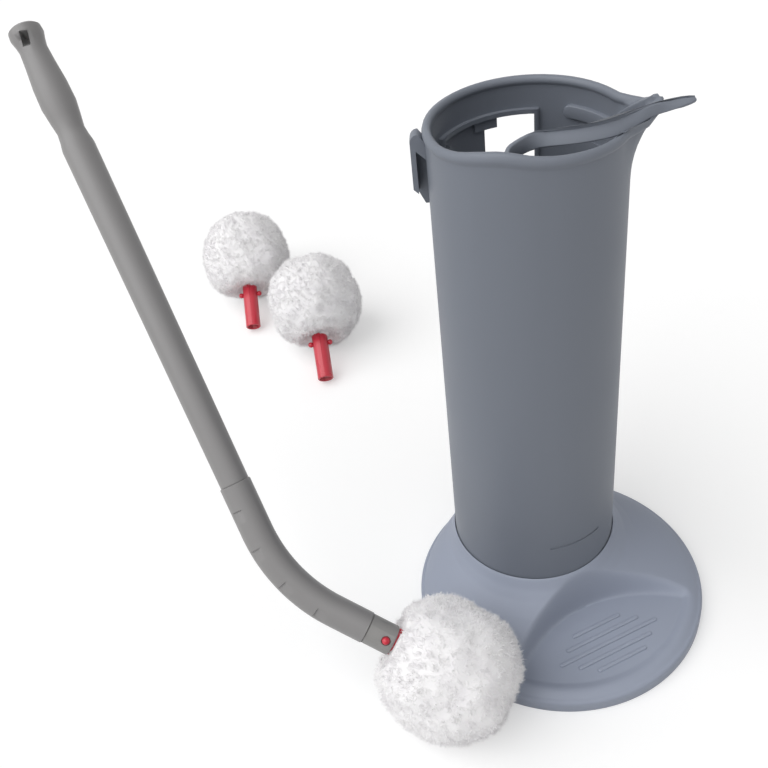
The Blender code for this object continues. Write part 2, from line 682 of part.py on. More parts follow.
def frame_empty(name, place, parent=None, rotation=None):
    """An empty that carries a group of pieces."""
    empty = bpy.data.objects.new(name, None)
    PARTS.objects.link(empty)
    empty.parent = parent
    empty.location = place
    if rotation is not None:
        empty.rotation_mode = "QUATERNION"
        empty.rotation_quaternion = rotation.to_quaternion()
    return empty


def carried(thing, parent):
    thing.parent = parent
    return thing


def pile_profile():
    """The pile's outline: the bore round the core, the dimple, the crown and the rounded end."""
    bore = CORE_RADIUS + CLEARANCE
    groove = bore + BINDING_THICKNESS + CLEARANCE
    seat = -PILE_SEAT
    groove_top = seat - BINDING_DEPTH + CLEARANCE
    groove_low = seat - BINDING_DEPTH - BINDING_HEIGHT - CLEARANCE
    bottom = seat - CORE_IN_PILE - CLEARANCE
    middle = PILE_TOP - PILE_LENGTH / 2
    half = PILE_LENGTH / 2
    points = [(0.0, bottom), (bore, bottom), (bore, groove_low), (groove, groove_low), (groove, groove_top),
              (bore, groove_top), (bore, seat), (DIMPLE_RADIUS, seat)]
    for i in range(PILE_RINGS):
        turn = math.pi * (PILE_CROWN + (1.0 - PILE_CROWN) * i / (PILE_RINGS - 1))
        radius = PILE_RADIUS * abs(math.sin(turn)) ** PILE_FULLNESS
        height = middle + math.copysign(half * abs(math.cos(turn)) ** PILE_FULLNESS, math.cos(turn))
        points.append((radius, height))
    points[-1] = (0.0, middle - half)
    return points


def pile(name, parent, phase):
    """The soft swab pile, a lumpy closed form with a dimple round the core."""
    thing = turned(name, pile_profile(), PILE_SIDES, material="pile_white")
    for vertex in thing.data.vertices:
        spot = vertex.co
        across = math.hypot(spot.x, spot.y)
        if across <= DIMPLE_RADIUS * 1.5:
            continue
        angle = math.atan2(spot.y, spot.x)
        lump = math.sin(3 * angle + phase) * math.cos(60.0 * spot.z + phase) + 0.6 * math.sin(5 * angle - 2 * phase)
        share = 1.0 + PILE_LUMP / PILE_RADIUS * lump
        vertex.co = (spot.x * share, spot.y * share, spot.z)
    return carried(smooth(thing, 60.0), parent)


def core(name, parent):
    """The stem: a tube open at its upper end, with a shoulder at the pile and two slots for tongues."""
    bottom = -PILE_SEAT - CORE_IN_PILE
    inside = CORE_RADIUS - CORE_WALL
    shoulder = -PILE_SEAT + CLEARANCE
    shoulder_height = PILE_SEAT - COLLAR_MOUTH - 2 * CLEARANCE
    profile = [(0.0, bottom + CORE_WALL), (inside, bottom + CORE_WALL), (inside, STEM_LENGTH - 0.0006),
               (inside + 0.0006, STEM_LENGTH), (CORE_RADIUS - 0.0006, STEM_LENGTH),
               (CORE_RADIUS, STEM_LENGTH - 0.0006), (CORE_RADIUS, bottom), (0.0, bottom)]
    thing = turned(name, profile, CORE_SIDES, material="core_red")
    webs = []
    slots = []
    for sign in (-1, 1):
        web = box(f"{name}_web_{sign}", (SHOULDER_RADIUS - CORE_RADIUS + CORE_WALL / 2, 0.0022, shoulder_height),
                  (sign * (CORE_RADIUS + SHOULDER_RADIUS - CORE_WALL / 2) / 2, 0, shoulder + shoulder_height / 2))
        webs.append(web)
        slot_low = -TONGUE_TIP - CLEARANCE * 1.5
        slot_high = TONGUE_ROOT + CLEARANCE
        slot_width = 2 * CORE_RADIUS * math.sin(math.radians(TONGUE_HALF_ANGLE)) + 3 * CLEARANCE
        slots.append(box(f"{name}_slot_{sign}", (slot_width, CORE_RADIUS, slot_high - slot_low),
                         (0, sign * CORE_RADIUS, (slot_low + slot_high) / 2)))
    build_up(thing, added=webs, removed=slots)
    return carried(smooth(thing), parent)


def tongue(name, parent, sign):
    """A spring tongue in the stem's wall with its round button; its origin is on its hinge line."""
    inside = CORE_RADIUS - CORE_WALL
    middle = 90.0 * sign
    strip = ring_block(f"{name}_strip", inside, CORE_RADIUS, middle - TONGUE_HALF_ANGLE, middle + TONGUE_HALF_ANGLE,
                       -TONGUE_TIP, TONGUE_ROOT, step=15.0)

    def ball(bm):
        bmesh.ops.create_uvsphere(bm, u_segments=16, v_segments=8, radius=BUTTON_RADIUS)
        bmesh.ops.rotate(bm, matrix=Matrix.Rotation(math.radians(90), 3, "X"), verts=bm.verts)
        out = CORE_RADIUS + BUTTON_OUT - BUTTON_RADIUS
        bmesh.ops.translate(bm, vec=(0, sign * out, 0), verts=bm.verts)
    button = new_object(f"{name}_button", mesh_from(ball, name), CUTTERS)
    thing = new_object(name, strip.data.copy(), PARTS, "core_red")
    build_up(thing, added=[button])
    hinge = Vector((0, sign * (CORE_RADIUS - CORE_WALL / 2), TONGUE_ROOT))
    thing.data.transform(Matrix.Translation(-hinge))
    thing.location = hinge
    return carried(smooth(thing), parent)


def binding_ring(name, parent):
    """The ring that clamps the pile's backing to the core, inside the pile."""
    inner = CORE_RADIUS + CLEARANCE / 2
    outer = inner + BINDING_THICKNESS
    top = -PILE_SEAT - BINDING_DEPTH
    low = top - BINDING_HEIGHT
    thing = turned(name, [(inner, low), (inner, top), (outer, top), (outer, low), (inner, low)], CORE_SIDES,
                   material="binding_white")
    return carried(smooth(thing), parent)


def swab_head(prefix, parent, phase):
    pieces = [pile(f"{prefix}_pile", parent, phase), core(f"{prefix}_core", parent),
              binding_ring(f"{prefix}_binding_ring", parent)]
    for sign, side in ((-1, "front"), (1, "rear")):
        pieces.append(tongue(f"{prefix}_{side}_tongue", parent, sign))
    return pieces


def lowest(piece):
    return min((piece.matrix_world @ vertex.co).z for vertex in piece.data.vertices)


def rest_on_floor(empty, pieces):
    """Moves a group straight up or down until its lowest point is on the floor."""
    bpy.context.view_layer.update()
    empty.location.z += CLEARANCE - min(lowest(piece) for piece in pieces)
    bpy.context.view_layer.update()


def socket_connector(parent):
    """The collar that takes the stem; its two side holes catch the buttons."""
    bore = CORE_RADIUS + CLEARANCE
    top = -COLLAR_MOUTH + CONNECTOR_LENGTH
    chamfer = 0.0008
    profile = [(bore, top), (CONNECTOR_RADIUS, top), (CONNECTOR_RADIUS, COLLAR_TOP), (COLLAR_RADIUS, COLLAR_TOP),
               (COLLAR_RADIUS, -COLLAR_MOUTH + chamfer), (COLLAR_RADIUS - chamfer, -COLLAR_MOUTH),
               (bore, -COLLAR_MOUTH), (bore, top)]
    thing = turned("socket_connector", profile, CORE_SIDES, material="collar_grey")
    hole = cylinder("button_hole", BUTTON_RADIUS + 0.0005, -COLLAR_RADIUS * 1.5, COLLAR_RADIUS * 1.5, sides=16,
                    axis="Y")
    build_up(thing, removed=[hole])
    return carried(smooth(thing), parent)


def sleeve_path():
    """The bent sleeve's centre line: a straight, the bend, and a straight along the handle."""
    start = COLLAR_TOP + CLEARANCE
    points = [Vector((0, 0, start)), Vector((0, 0, start + SLEEVE_LOWER))]
    steps = 9
    for i in range(1, steps + 1):
        turn = math.radians(BEND_ANGLE * i / steps)
        points.append(Vector((BEND_RADIUS * (1 - math.cos(turn)), 0,
                              start + SLEEVE_LOWER + BEND_RADIUS * math.sin(turn))))
    away = Vector((math.sin(math.radians(BEND_ANGLE)), 0, math.cos(math.radians(BEND_ANGLE))))
    points.append(points[-1] + away * SLEEVE_UPPER)
    return points, away


def tube_along(name, points, radius, collection=CUTTERS, ends=0.0):
    """A round solid along a path, its ends lengthened by the given amount."""
    line = [point.copy() for point in points]
    line[0] += (line[0] - line[1]).normalized() * ends
    line[-1] += (line[-1] - line[-2]).normalized() * ends
    curve = bpy.data.curves.new(name, "CURVE")
    curve.dimensions = "3D"
    curve.bevel_depth = radius
    curve.bevel_resolution = SLEEVE_SIDES // 4 - 1 + SLEEVE_SIDES // 4
    curve.use_fill_caps = True
    spline = curve.splines.new("POLY")
    spline.points.add(len(line) - 1)
    for spot, point in zip(line, spline.points):
        point.co = (*spot, 1.0)
    guide = bpy.data.objects.new(f"{name}_guide", curve)
    collection.objects.link(guide)
    bpy.context.view_layer.update()
    graph = bpy.context.evaluated_depsgraph_get()
    mesh = bpy.data.meshes.new_from_object(guide.evaluated_get(graph))
    bpy.data.objects.remove(guide)
    bm = bmesh.new()
    bm.from_mesh(mesh)
    bmesh.ops.remove_doubles(bm, verts=bm.verts, dist=MERGE)
    bmesh.ops.recalc_face_normals(bm, faces=bm.faces)
    bm.to_mesh(mesh)
    bm.free()
    return new_object(name, mesh, collection)


def elbow_sleeve(parent):
    """The bent sleeve between the connector and the handle tube, with shallow notches outside the bend."""
    points, away = sleeve_path()
    thing = tube_along("elbow_sleeve", points, SLEEVE_RADIUS, PARTS)
    thing.data.materials.append(MATERIALS["handle_grey"])
    bore = tube_along("sleeve_bore", points, SLEEVE_RADIUS - SLEEVE_WALL, ends=EMBED)
    build_up(thing, removed=[bore])
    notches = []
    total = SLEEVE_LOWER + math.radians(BEND_ANGLE) * BEND_RADIUS + SLEEVE_UPPER
    for i in range(NOTCH_COUNT):
        distance = total - NOTCH_FIRST - NOTCH_PITCH * i
        bent = min(max(distance - SLEEVE_LOWER, 0.0), math.radians(BEND_ANGLE) * BEND_RADIUS)
        turn = bent / BEND_RADIUS
        spot = Vector((BEND_RADIUS * (1 - math.cos(turn)), 0,
                       COLLAR_TOP + CLEARANCE + min(distance, SLEEVE_LOWER) + BEND_RADIUS * math.sin(turn)))
        spot += away * max(0.0, distance - SLEEVE_LOWER - math.radians(BEND_ANGLE) * BEND_RADIUS)
        tilt = math.radians(8.0)
        notch = box(f"notch_{i}", (NOTCH_DEPTH * 2, NOTCH_WIDTH, NOTCH_LENGTH), (0, 0, 0))
        notch.data.transform(Matrix.Rotation(tilt, 4, "Y"))
        notch.data.transform(Matrix.Translation((-SLEEVE_RADIUS, 0, 0)))
        notch.data.transform(Matrix.Rotation(math.radians(35.0), 4, "Z"))
        notch.data.transform(Matrix.Rotation(turn, 4, "Y"))
        notch.data.transform(Matrix.Translation(spot))
        notches.append(notch)
    build_up(thing, removed=notches)
    return carried(smooth(thing), parent)


def handle_tube(parent):
    """The handle: a tapering tube with its grip, hollow below the grip's end, plugged into the sleeve."""
    points, away = sleeve_path()
    seat = points[-1]
    top = TUBE_LENGTH
    spigot = SLEEVE_RADIUS - SLEEVE_WALL - CLEARANCE
    bore = spigot - HANDLE_WALL
    outline = [(0.0, top)]
    outline += [(radius, top - down) for down, radius in GRIP_STATIONS]
    outline += [(HANDLE_HIGH_RADIUS, top - GRIP_STATIONS[-1][0] - 0.006), (HANDLE_LOW_RADIUS, CLEARANCE),
                (spigot, CLEARANCE), (spigot, -SPIGOT_LENGTH), (bore, -SPIGOT_LENGTH), (bore, top - GRIP_SOLID),
                (0.0, top - GRIP_SOLID)]
    thing = turned("handle_tube", outline, HANDLE_SIDES, material="handle_grey")
    slot = box("hang_hole", (HANG_HOLE_WIDTH, HANDLE_HIGH_RADIUS * 4, HANG_HOLE_LENGTH), (0, 0, 0))
    slot.data.transform(Matrix.Rotation(math.radians(14.0), 4, "Y"))
    slot.data.transform(Matrix.Translation((0, 0, top - HANG_HOLE_DEPTH)))
    build_up(thing, removed=[slot])
    thing.location = seat
    thing.rotation_mode = "QUATERNION"
    thing.rotation_quaternion = Vector((0, 0, 1)).rotation_difference(away)
    return carried(smooth(thing), parent)


def brush_place():
    """Where the mounted swab stands: its pile leans in over the base's edge by a small overhang."""
    reach = BASE_RADIUS + PILE_RADIUS - BRUSH_OVERHANG
    angle = math.radians(BRUSH_BEARING)
    return reach * math.cos(angle), reach * math.sin(angle) - BASE_OFFSET, 0.0


def brush():
    """The brush, standing on its swab: its plane is turned and leans back, and the stem leans in it."""
    plane = Matrix.Rotation(math.radians(BRUSH_TURN), 4, "Z") @ Matrix.Rotation(math.radians(-BRUSH_LEAN_BACK), 4, "X")
    turn = plane @ Matrix.Rotation(math.radians(-STEM_LEAN), 4, "Y")
    swab_frame = frame_empty("brush_swab_frame", brush_place(), rotation=turn)
    pieces = swab_head("brush_swab", swab_frame, 0.4)
    handle_frame = frame_empty("brush_handle_frame", (0, 0, 0), parent=swab_frame)
    socket_connector(handle_frame)
    elbow_sleeve(handle_frame)
    handle_tube(handle_frame)
    rest_on_floor(swab_frame, pieces)
    dent = dome("pile_dent", -2 * CLEARANCE, -BASE_EDGE, CUTTERS)
    build_up(pieces[0], removed=[dent])
    smooth(pieces[0], 60.0)
    return swab_frame


def spare_swab(prefix, place, turn, phase):
    """A spare swab head lying on the floor on its pile and on the open end of its stem."""
    frame = frame_empty(f"{prefix}_frame", (*place, 0.0), rotation=Matrix.Identity(4))
    pieces = swab_head(prefix, frame, phase)
    least_dip = 0.0
    most_dip = 60.0
    for _ in range(14):
        dip = (least_dip + most_dip) / 2
        aim = Matrix.Rotation(math.radians(turn), 4, "Z") @ Matrix.Rotation(math.radians(90.0 + dip), 4, "Y")
        frame.rotation_quaternion = aim.to_quaternion()
        bpy.context.view_layer.update()
        if lowest(pieces[0]) < lowest(pieces[1]):
            least_dip = dip
        else:
            most_dip = dip
    rest_on_floor(frame, pieces)
    return frame


holder_tube()
base_plate()
for screw_number in range(SCREW_COUNT):
    base_screw(screw_number)
brush()
spare_swab("spare_one", SPARE_PLACES[0], SPARE_TURNS[0], 1.7)
spare_swab("spare_two", SPARE_PLACES[1], SPARE_TURNS[1], 3.1)
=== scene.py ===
import math

import bmesh
import bpy
import numpy as np
from mathutils import Euler, Matrix, Vector, noise


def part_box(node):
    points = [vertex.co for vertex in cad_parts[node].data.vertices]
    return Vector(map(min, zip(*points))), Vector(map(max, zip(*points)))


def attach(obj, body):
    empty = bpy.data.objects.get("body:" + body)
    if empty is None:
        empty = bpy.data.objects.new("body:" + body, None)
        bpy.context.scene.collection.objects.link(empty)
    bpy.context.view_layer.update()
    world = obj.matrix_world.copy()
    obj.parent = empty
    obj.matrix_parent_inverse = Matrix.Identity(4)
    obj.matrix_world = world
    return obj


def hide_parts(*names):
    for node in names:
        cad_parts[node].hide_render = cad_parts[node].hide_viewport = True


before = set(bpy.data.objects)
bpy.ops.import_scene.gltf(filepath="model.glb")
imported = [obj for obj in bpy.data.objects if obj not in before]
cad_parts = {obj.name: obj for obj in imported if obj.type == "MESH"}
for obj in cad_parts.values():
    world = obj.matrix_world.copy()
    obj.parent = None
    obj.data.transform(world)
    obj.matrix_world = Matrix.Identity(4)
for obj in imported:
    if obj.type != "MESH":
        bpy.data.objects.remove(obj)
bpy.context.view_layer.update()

# The toilet brush, its holder and two spare swab heads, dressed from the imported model.
# Sizes are in metres and angles in degrees.

scene = bpy.context.scene

# Meshes: how close corners merge, how flat neighbours become one face, which edges stay sharp
MERGE = 0.00001
FLAT_ANGLE = 0.4
PLAIN_SHARP = 32.0
CUP_SHARP = 38.0
BASE_SHARP = 50.0
SLEEVE_SHARP = 40.0

# Camera at the photograph's viewing angle
CAMERA_PLACE = (-0.29323, -0.48419, 0.69729)
CAMERA_TURN = (49.6411, 6.3586, -25.0669)
CAMERA_SENSOR = 36.0
CAMERA_LENS = 44.53
CAMERA_NEAR = 0.02

# Light and floor
WORLD_LIGHT = 0.32
FLOOR_REACH = 9.0
FLOOR_TONE = 0.70
FLOOR_LIFT = 0.36

# Holder tube
TUBE_RADIUS = 0.0683
TUBE_TOP_RADIUS = 0.0650
TUBE_WALL = 0.003
RIM_HEIGHT = 0.431
RIM_ZONE = 0.0085
SPOUT_ANGLE = -30.0
SPOUT_REACH = 0.0190
SPOUT_DEPTH = 0.044
SPOUT_HALF_WIDTH = 27.0
SPOUT_CURVE = 2.3
COLLAR_HEIGHT = 0.056

# Which faces count as the tube's round wall: above where, how far below the rim, how far in and out of it,
# and how nearly along it
WALL_START = 0.010
WALL_FACE_GAP = RIM_ZONE * 0.6
WALL_CORNER_GAP = RIM_ZONE * 0.5
WALL_INWARD = 0.0045
WALL_OUTWARD = 0.0015
WALL_FACING = 0.95
WALL_STEP = 0.0005

# Strap across the mouth: its broad face leans back, so that it is seen from above. Its plan is in tube
# radii, and so are the places and widths of the lean.
ROOT_ANGLE = -132.0
STRAP_HEIGHT = 0.0095
STRAP_THICKNESS = 0.003
STRAP_TIP_HEIGHT = 0.0045
STRAP_TAPER_START = 0.8
STRAP_ABOVE_RIM = 0.0085
STRAP_OVERHANG = 0.0385
STRAP_LEAN = 48.0
STRAP_MARGIN = 0.0008
STRAP_PLAN = ((0.07, -0.60), (0.45, -0.545), (0.73, -0.455), (1.00, -0.275), (1.27, -0.13))
STRAP_STEPS = 16
LEAN_START = 0.12
LEAN_GROWTH = 0.30
CROSSING_PLACE = 1.12
CROSSING_WIDTH = 0.13
CROSSING_HOLD = 0.75

# Base: a dome from the collar to an eccentric round edge
BASE_RADIUS = 0.121
BASE_OFFSET = 0.041
BASE_EDGE = 0.0095
BASE_WALL = 0.003
EDGE_ROUNDING = 0.0030
EDGE_STEPS = 6
FOOT_HEIGHT = 0.0008
FOOT_ROUNDING = 0.0006
SOCKET_RADIUS = 0.0686
SOCKET_FLOOR = 0.004
SOCKET_LIP = 0.0005
COLLAR_LIP = 0.0004
COLLAR_DROP = 0.0006
SCREW_FLOOR = 0.0022
SCREW_WELL_INSET = 0.002
WELL_CENTRE = 0.002
DOME_SHAPE = ((0.0, 1.0), (0.06, 0.82), (0.15, 0.67), (0.30, 0.54), (0.50, 0.42), (0.70, 0.30), (0.88, 0.18),
              (0.97, 0.10), (1.0, 0.06))
DOME_BLUR = ((0.25, -0.018), (0.5, 0.0), (0.25, 0.018))
BASE_TURNS = 288
DOME_ROWS = 110

# Underside of the base: every few rows of the dome, kept below the lowest place around
UNDER_STEP = 6
UNDER_FIRST = 4
UNDER_TURNS = 5
UNDER_ROWS = 7
UNDER_LEAST = 0.002
UNDER_COLLAR = 0.6
UNDER_GAP = 0.0002
STIFFENER_COUNT = 8
STIFFENER_WIDTH = 0.0025
STIFFENER_FOOT = 0.0006
STIFFENER_TOPS = (0.011, 0.0085)
STIFFENER_LEAST = 0.010
STIFFENER_GAP = 0.012
STIFFENER_SINK = 0.001

# Foot recess in the base and the grip ribs on its floor
RECESS_FLOOR = 0.0138
HEEL_RADIUS = 0.119
HEEL_TOP = 0.0725
HEEL_SLOPE = 0.0075
HEEL_LEAD = 0.25
BAND_WIDTH = 0.010
BAND_SLOPE = 0.0120
BAND_LEAD = 0.35
RIB_COUNT = 5
RIB_PITCH = 0.0091
RIB_CENTRE = 0.1165
RIB_LONGEST = 0.094
RIB_SHORTER = 0.024
RIB_WIDTH = 0.0034
RIB_HEIGHT = 0.0013
RIB_END_STEPS = 12
RIB_SECTION = ((0.0, -0.3), (0.0, 0.35), (0.12, 0.7), (0.34, 0.93), (0.66, 1.0))

# How the brush stands: its plane is turned and leans back, the stem leans in it, and the swab is on the
# base's edge
BRUSH_TURN = -19.7
BRUSH_LEAN_BACK = 40.0
STEM_LEAN = 54.7
BRUSH_BEARING = 188.456
BRUSH_OVERHANG = 0.00291
BRUSH_RISE = 0.08133
PILE_RADIUS = 0.056

# Bent sleeve of the brush, with the notches outside its bend
SLEEVE_START = 0.0158
SLEEVE_RADIUS = 0.0124
SLEEVE_WALL = 0.0016
SLEEVE_LOWER = 0.0285
SLEEVE_UPPER = 0.040
SLEEVE_LIP = 0.0007
BEND_RADIUS = 0.131
BEND_ANGLE = 38.1
SLEEVE_TURNS = 96
SLEEVE_ROWS = 330
BORE_ROWS = 44
NOTCH_COUNT = 4
NOTCH_PITCH = 0.0315
NOTCH_FIRST = 0.025
NOTCH_LENGTH = 0.0095
NOTCH_DEPTH = 0.0013
NOTCH_ANGLE = 58.0
NOTCH_HALF_ANGLE = 24.0
NOTCH_EDGE = 3.0

# Spring tongues: how much of the root is drawn back, and by how much
ROOT_ZONE = 0.0012
ROOT_EASE = 0.00018

# Swab fleece: its lumpy body
PILE_DIVISIONS = 3
PILE_SHRINK = 0.0028
PILE_HEART = 0.034
HEART_FADE = 0.006
LUMP_SCALE = 34.0
LUMP_HEIGHT = 0.0026
CLUMP_SCALE = 60.0
CLUMP_HEIGHT = 0.0017
FLOOR_GAP = 0.0004

# Swab fleece: where it rests and is pressed flat
REST_HEIGHT = 0.0008
REST_FADE = 0.006
BASE_REACH = 0.035
BASE_MARGIN = 0.001
FUR_LEAST_FREEDOM = 0.25

# Swab fleece: its fibres. A pair is a middle value and how far it varies from strand to strand.
FUR_LENGTH = 0.0034
FUR_WIDTH = 0.00024
FUR_SHORTEN = (0.78, 0.22)
FUR_LEAN = (0.40, 0.24)
FUR_TAPER = 0.75
FUR_SINK = 0.15
FUR_CURL = 0.0009
FUR_ROOT = 0.0006
FUR_STRANDS = 7
FUR_STEPS = 2
FUR_TUFTS = 5200
FUR_SEED = 11

# Finishes
PLASTIC_IOR = 1.46
COAT_ROUGHNESS = 0.12
GLOSS_CHANGE = 0.16


def socket(group, name, kind, direction="INPUT", default=None):
    """One named socket on a node group's interface."""
    made = group.interface.new_socket(name=name, in_out=direction, socket_type=kind)
    if default is not None:
        made.default_value = default


def fill(tree, node, inputs):
    """Gives a node's inputs their values, or links them to other nodes' outputs."""
    for key, value in inputs.items():
        if isinstance(value, bpy.types.NodeSocket):
            tree.links.new(value, node.inputs[key])
        else:
            node.inputs[key].default_value = value


def add(tree, kind, inputs=None, **settings):
    """A node of the given kind with its settings and its inputs."""
    made = tree.nodes.new(kind)
    for key, value in settings.items():
        setattr(made, key, value)
    fill(tree, made, inputs or {})
    return made


def calc(tree, operation, *terms):
    """The result of a math node whose terms are numbers or other nodes' outputs."""
    return add(tree, "ShaderNodeMath", dict(enumerate(terms)), operation=operation).outputs[0]


def speckle(tree, scale, detail):
    """A noise over the piece's own coordinates."""
    place = add(tree, "ShaderNodeTexCoord")
    return add(tree, "ShaderNodeTexNoise",
               {"Vector": place.outputs["Object"], "Scale": scale, "Detail": detail}).outputs["Fac"]


def moulded_grain_group():
    """The look of moulded plastic: soft changes of tone, of gloss, and a fine raised grain."""
    group = bpy.data.node_groups.new("moulded_grain", "ShaderNodeTree")
    socket(group, "Colour", "NodeSocketColor")
    socket(group, "Tone change", "NodeSocketFloat", default=0.06)
    socket(group, "Roughness", "NodeSocketFloat", default=0.5)
    socket(group, "Grain size", "NodeSocketFloat", default=900.0)
    socket(group, "Mottle size", "NodeSocketFloat", default=14.0)
    socket(group, "Colour", "NodeSocketColor", "OUTPUT")
    socket(group, "Roughness", "NodeSocketFloat", "OUTPUT")
    socket(group, "Grain", "NodeSocketFloat", "OUTPUT")
    inside = add(group, "NodeGroupInput").outputs
    mottle = calc(group, "SUBTRACT", speckle(group, inside["Mottle size"], detail=3.0), 0.5)
    value = calc(group, "ADD", calc(group, "MULTIPLY", mottle, inside["Tone change"]), 1.0)
    tone = add(group, "ShaderNodeHueSaturation", {"Value": value, "Color": inside["Colour"]})
    gloss = calc(group, "MULTIPLY_ADD", mottle, GLOSS_CHANGE, inside["Roughness"])
    grain = speckle(group, inside["Grain size"], detail=2.0)
    add(group, "NodeGroupOutput", {"Colour": tone.outputs["Color"], "Roughness": gloss, "Grain": grain})
    return group


GRAIN = moulded_grain_group()


def new_material(name):
    """A material with nodes, as the material, its tree and its shader."""
    material = bpy.data.materials.new(name)
    material.use_nodes = True
    return material, material.node_tree, material.node_tree.nodes["Principled BSDF"]


def plastic(name, colour, roughness, tone_change=0.06, grain_size=900.0, grain_depth=0.00004, coat=0.0,
            metallic=0.0):
    """A moulded plastic, or a metal, with its own colour, gloss and grain."""
    material, tree, shader = new_material(name)
    look = add(tree, "ShaderNodeGroup", {"Colour": (*colour, 1.0), "Tone change": tone_change,
                                         "Roughness": roughness, "Grain size": grain_size}, node_tree=GRAIN)
    bump = add(tree, "ShaderNodeBump",
               {"Strength": 0.6, "Distance": grain_depth, "Height": look.outputs["Grain"]})
    fill(tree, shader, {"Base Color": look.outputs["Colour"], "Roughness": look.outputs["Roughness"],
                        "Normal": bump.outputs["Normal"], "IOR": PLASTIC_IOR, "Coat Weight": coat,
                        "Coat Roughness": COAT_ROUGHNESS, "Metallic": metallic})
    return material


def fleece(name, bright, shade):
    """White fibre: near white, a little darker and cooler in patches, with a soft sheen."""
    material, tree, shader = new_material(name)
    ramp = add(tree, "ShaderNodeValToRGB", {"Fac": speckle(tree, scale=60.0, detail=4.0)})
    for element, position, colour in zip(ramp.color_ramp.elements, (0.32, 0.62), (shade, bright)):
        element.position = position
        element.color = (*colour, 1.0)
    nap = speckle(tree, scale=620.0, detail=3.0)
    bump = add(tree, "ShaderNodeBump", {"Strength": 0.3, "Distance": 0.0006, "Height": nap})
    fill(tree, shader, {"Base Color": ramp.outputs["Color"], "Normal": bump.outputs["Normal"],
                        "Roughness": 0.95, "Sheen Weight": 0.5, "Sheen Roughness": 0.6,
                        "Specular IOR Level": 0.15})
    return material


HOLDER_PLASTIC = plastic("holder_plastic", (0.172, 0.190, 0.226), 0.50, grain_size=1500.0)
BASE_PLASTIC = plastic("base_plastic", (0.300, 0.331, 0.408), 0.56, grain_size=1100.0, grain_depth=0.00007)
HANDLE_PLASTIC = plastic("handle_plastic", (0.246, 0.240, 0.240), 0.38, grain_size=1800.0,
                         grain_depth=0.00002)
COLLAR_PLASTIC = plastic("collar_plastic", (0.250, 0.246, 0.240), 0.42, grain_size=1800.0,
                         grain_depth=0.00002)
RED_PLASTIC = plastic("red_plastic", (0.560, 0.022, 0.045), 0.30, tone_change=0.10, grain_depth=0.00001,
                      coat=0.25)
RING_PLASTIC = plastic("ring_plastic", (0.800, 0.800, 0.780), 0.55)
SCREW_STEEL = plastic("screw_steel", (0.560, 0.560, 0.570), 0.32, metallic=1.0)
SWAB_FLEECE = fleece("swab_fleece", (0.930, 0.921, 0.926), (0.880, 0.866, 0.880))

FINISHES = {
    "holder_grey": HOLDER_PLASTIC,
    "base_grey": BASE_PLASTIC,
    "handle_grey": HANDLE_PLASTIC,
    "collar_grey": COLLAR_PLASTIC,
    "core_red": RED_PLASTIC,
    "pile_white": SWAB_FLEECE,
    "binding_white": RING_PLASTIC,
    "steel": SCREW_STEEL,
}


def new_piece(name, mesh, material):
    """An object at the origin with one material."""
    piece = bpy.data.objects.new(name, mesh)
    scene.collection.objects.link(piece)
    mesh.materials.clear()
    mesh.materials.append(material)
    return piece


def mesh_of(shape, name):
    """A plain mesh of a bmesh, which is then freed."""
    mesh = bpy.data.meshes.new(name)
    shape.to_mesh(mesh)
    shape.free()
    return mesh


def evaluated_mesh(thing):
    """A plain mesh of an object with its modifiers applied."""
    bpy.context.view_layer.update()
    graph = bpy.context.evaluated_depsgraph_get()
    return bpy.data.meshes.new_from_object(thing.evaluated_get(graph))


def shade(mesh, sharp):
    """Smooth shading, except across edges sharper than an angle."""
    mesh.shade_smooth()
    mesh.set_sharp_from_angle(angle=math.radians(sharp))


def vectors(items, key):
    """A row of three numbers for each vertex or corner."""
    found = np.empty(len(items) * 3)
    items.foreach_get(key, found)
    return found.reshape(-1, 3)


def merged_copy(node):
    """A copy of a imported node's mesh with its loose triangles joined up."""
    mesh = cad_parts[node].data.copy()
    shape = bmesh.new()
    shape.from_mesh(mesh)
    bmesh.ops.remove_doubles(shape, verts=shape.verts, dist=MERGE)
    bmesh.ops.dissolve_limit(shape, angle_limit=math.radians(FLAT_ANGLE), verts=shape.verts, edges=shape.edges)
    shape.to_mesh(mesh)
    shape.free()
    return mesh


def pile_centre(head):
    """The middle of a swab head's pile."""
    low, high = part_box(f"{head}_pile")
    return (Vector(low) + Vector(high)) / 2


def ease_root(mesh, centre):
    """Shortens a spring tongue at its root, so that it clears the stem as it flexes."""
    places = vectors(mesh.vertices, "co")
    middle = places.mean(axis=0)
    along = np.linalg.svd(places - middle, full_matrices=False)[2][0]
    if np.dot(middle - np.array(centre), along) < 0:
        along = -along
    reach = places @ along
    places[reach > reach.max() - ROOT_ZONE] -= along * ROOT_EASE
    mesh.vertices.foreach_set("co", places.ravel())
    mesh.update()


def smoothed(node, name, body, slot, pile=None):
    """A piece with the node's shape and smooth shading between its flat facets."""
    mesh = merged_copy(node)
    if pile is not None:
        ease_root(mesh, pile)
    shade(mesh, PLAIN_SHARP)
    piece = new_piece(name, mesh, FINISHES[slot])
    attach(piece, body)
    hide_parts(node)


def photo_camera():
    """The camera, with the photograph's framing."""
    data = bpy.data.cameras.new("photo_camera")
    data.sensor_width = CAMERA_SENSOR
    data.lens = CAMERA_LENS
    data.clip_start = CAMERA_NEAR
    camera = bpy.data.objects.new("photo_camera", data)
    scene.collection.objects.link(camera)
    turn = Euler([math.radians(angle) for angle in CAMERA_TURN])
    camera.matrix_world = Matrix.LocRotScale(Vector(CAMERA_PLACE), turn, None)
    scene.camera = camera


def sun(name, direction, spread, strength):
    """A distant soft lamp that shines from a direction."""
    data = bpy.data.lights.new(name, "SUN")
    data.angle = math.radians(spread)
    data.energy = strength
    lamp = bpy.data.objects.new(name, data)
    scene.collection.objects.link(lamp)
    lamp.rotation_mode = "QUATERNION"
    lamp.rotation_quaternion = Vector(direction).to_track_quat("Z", "Y")


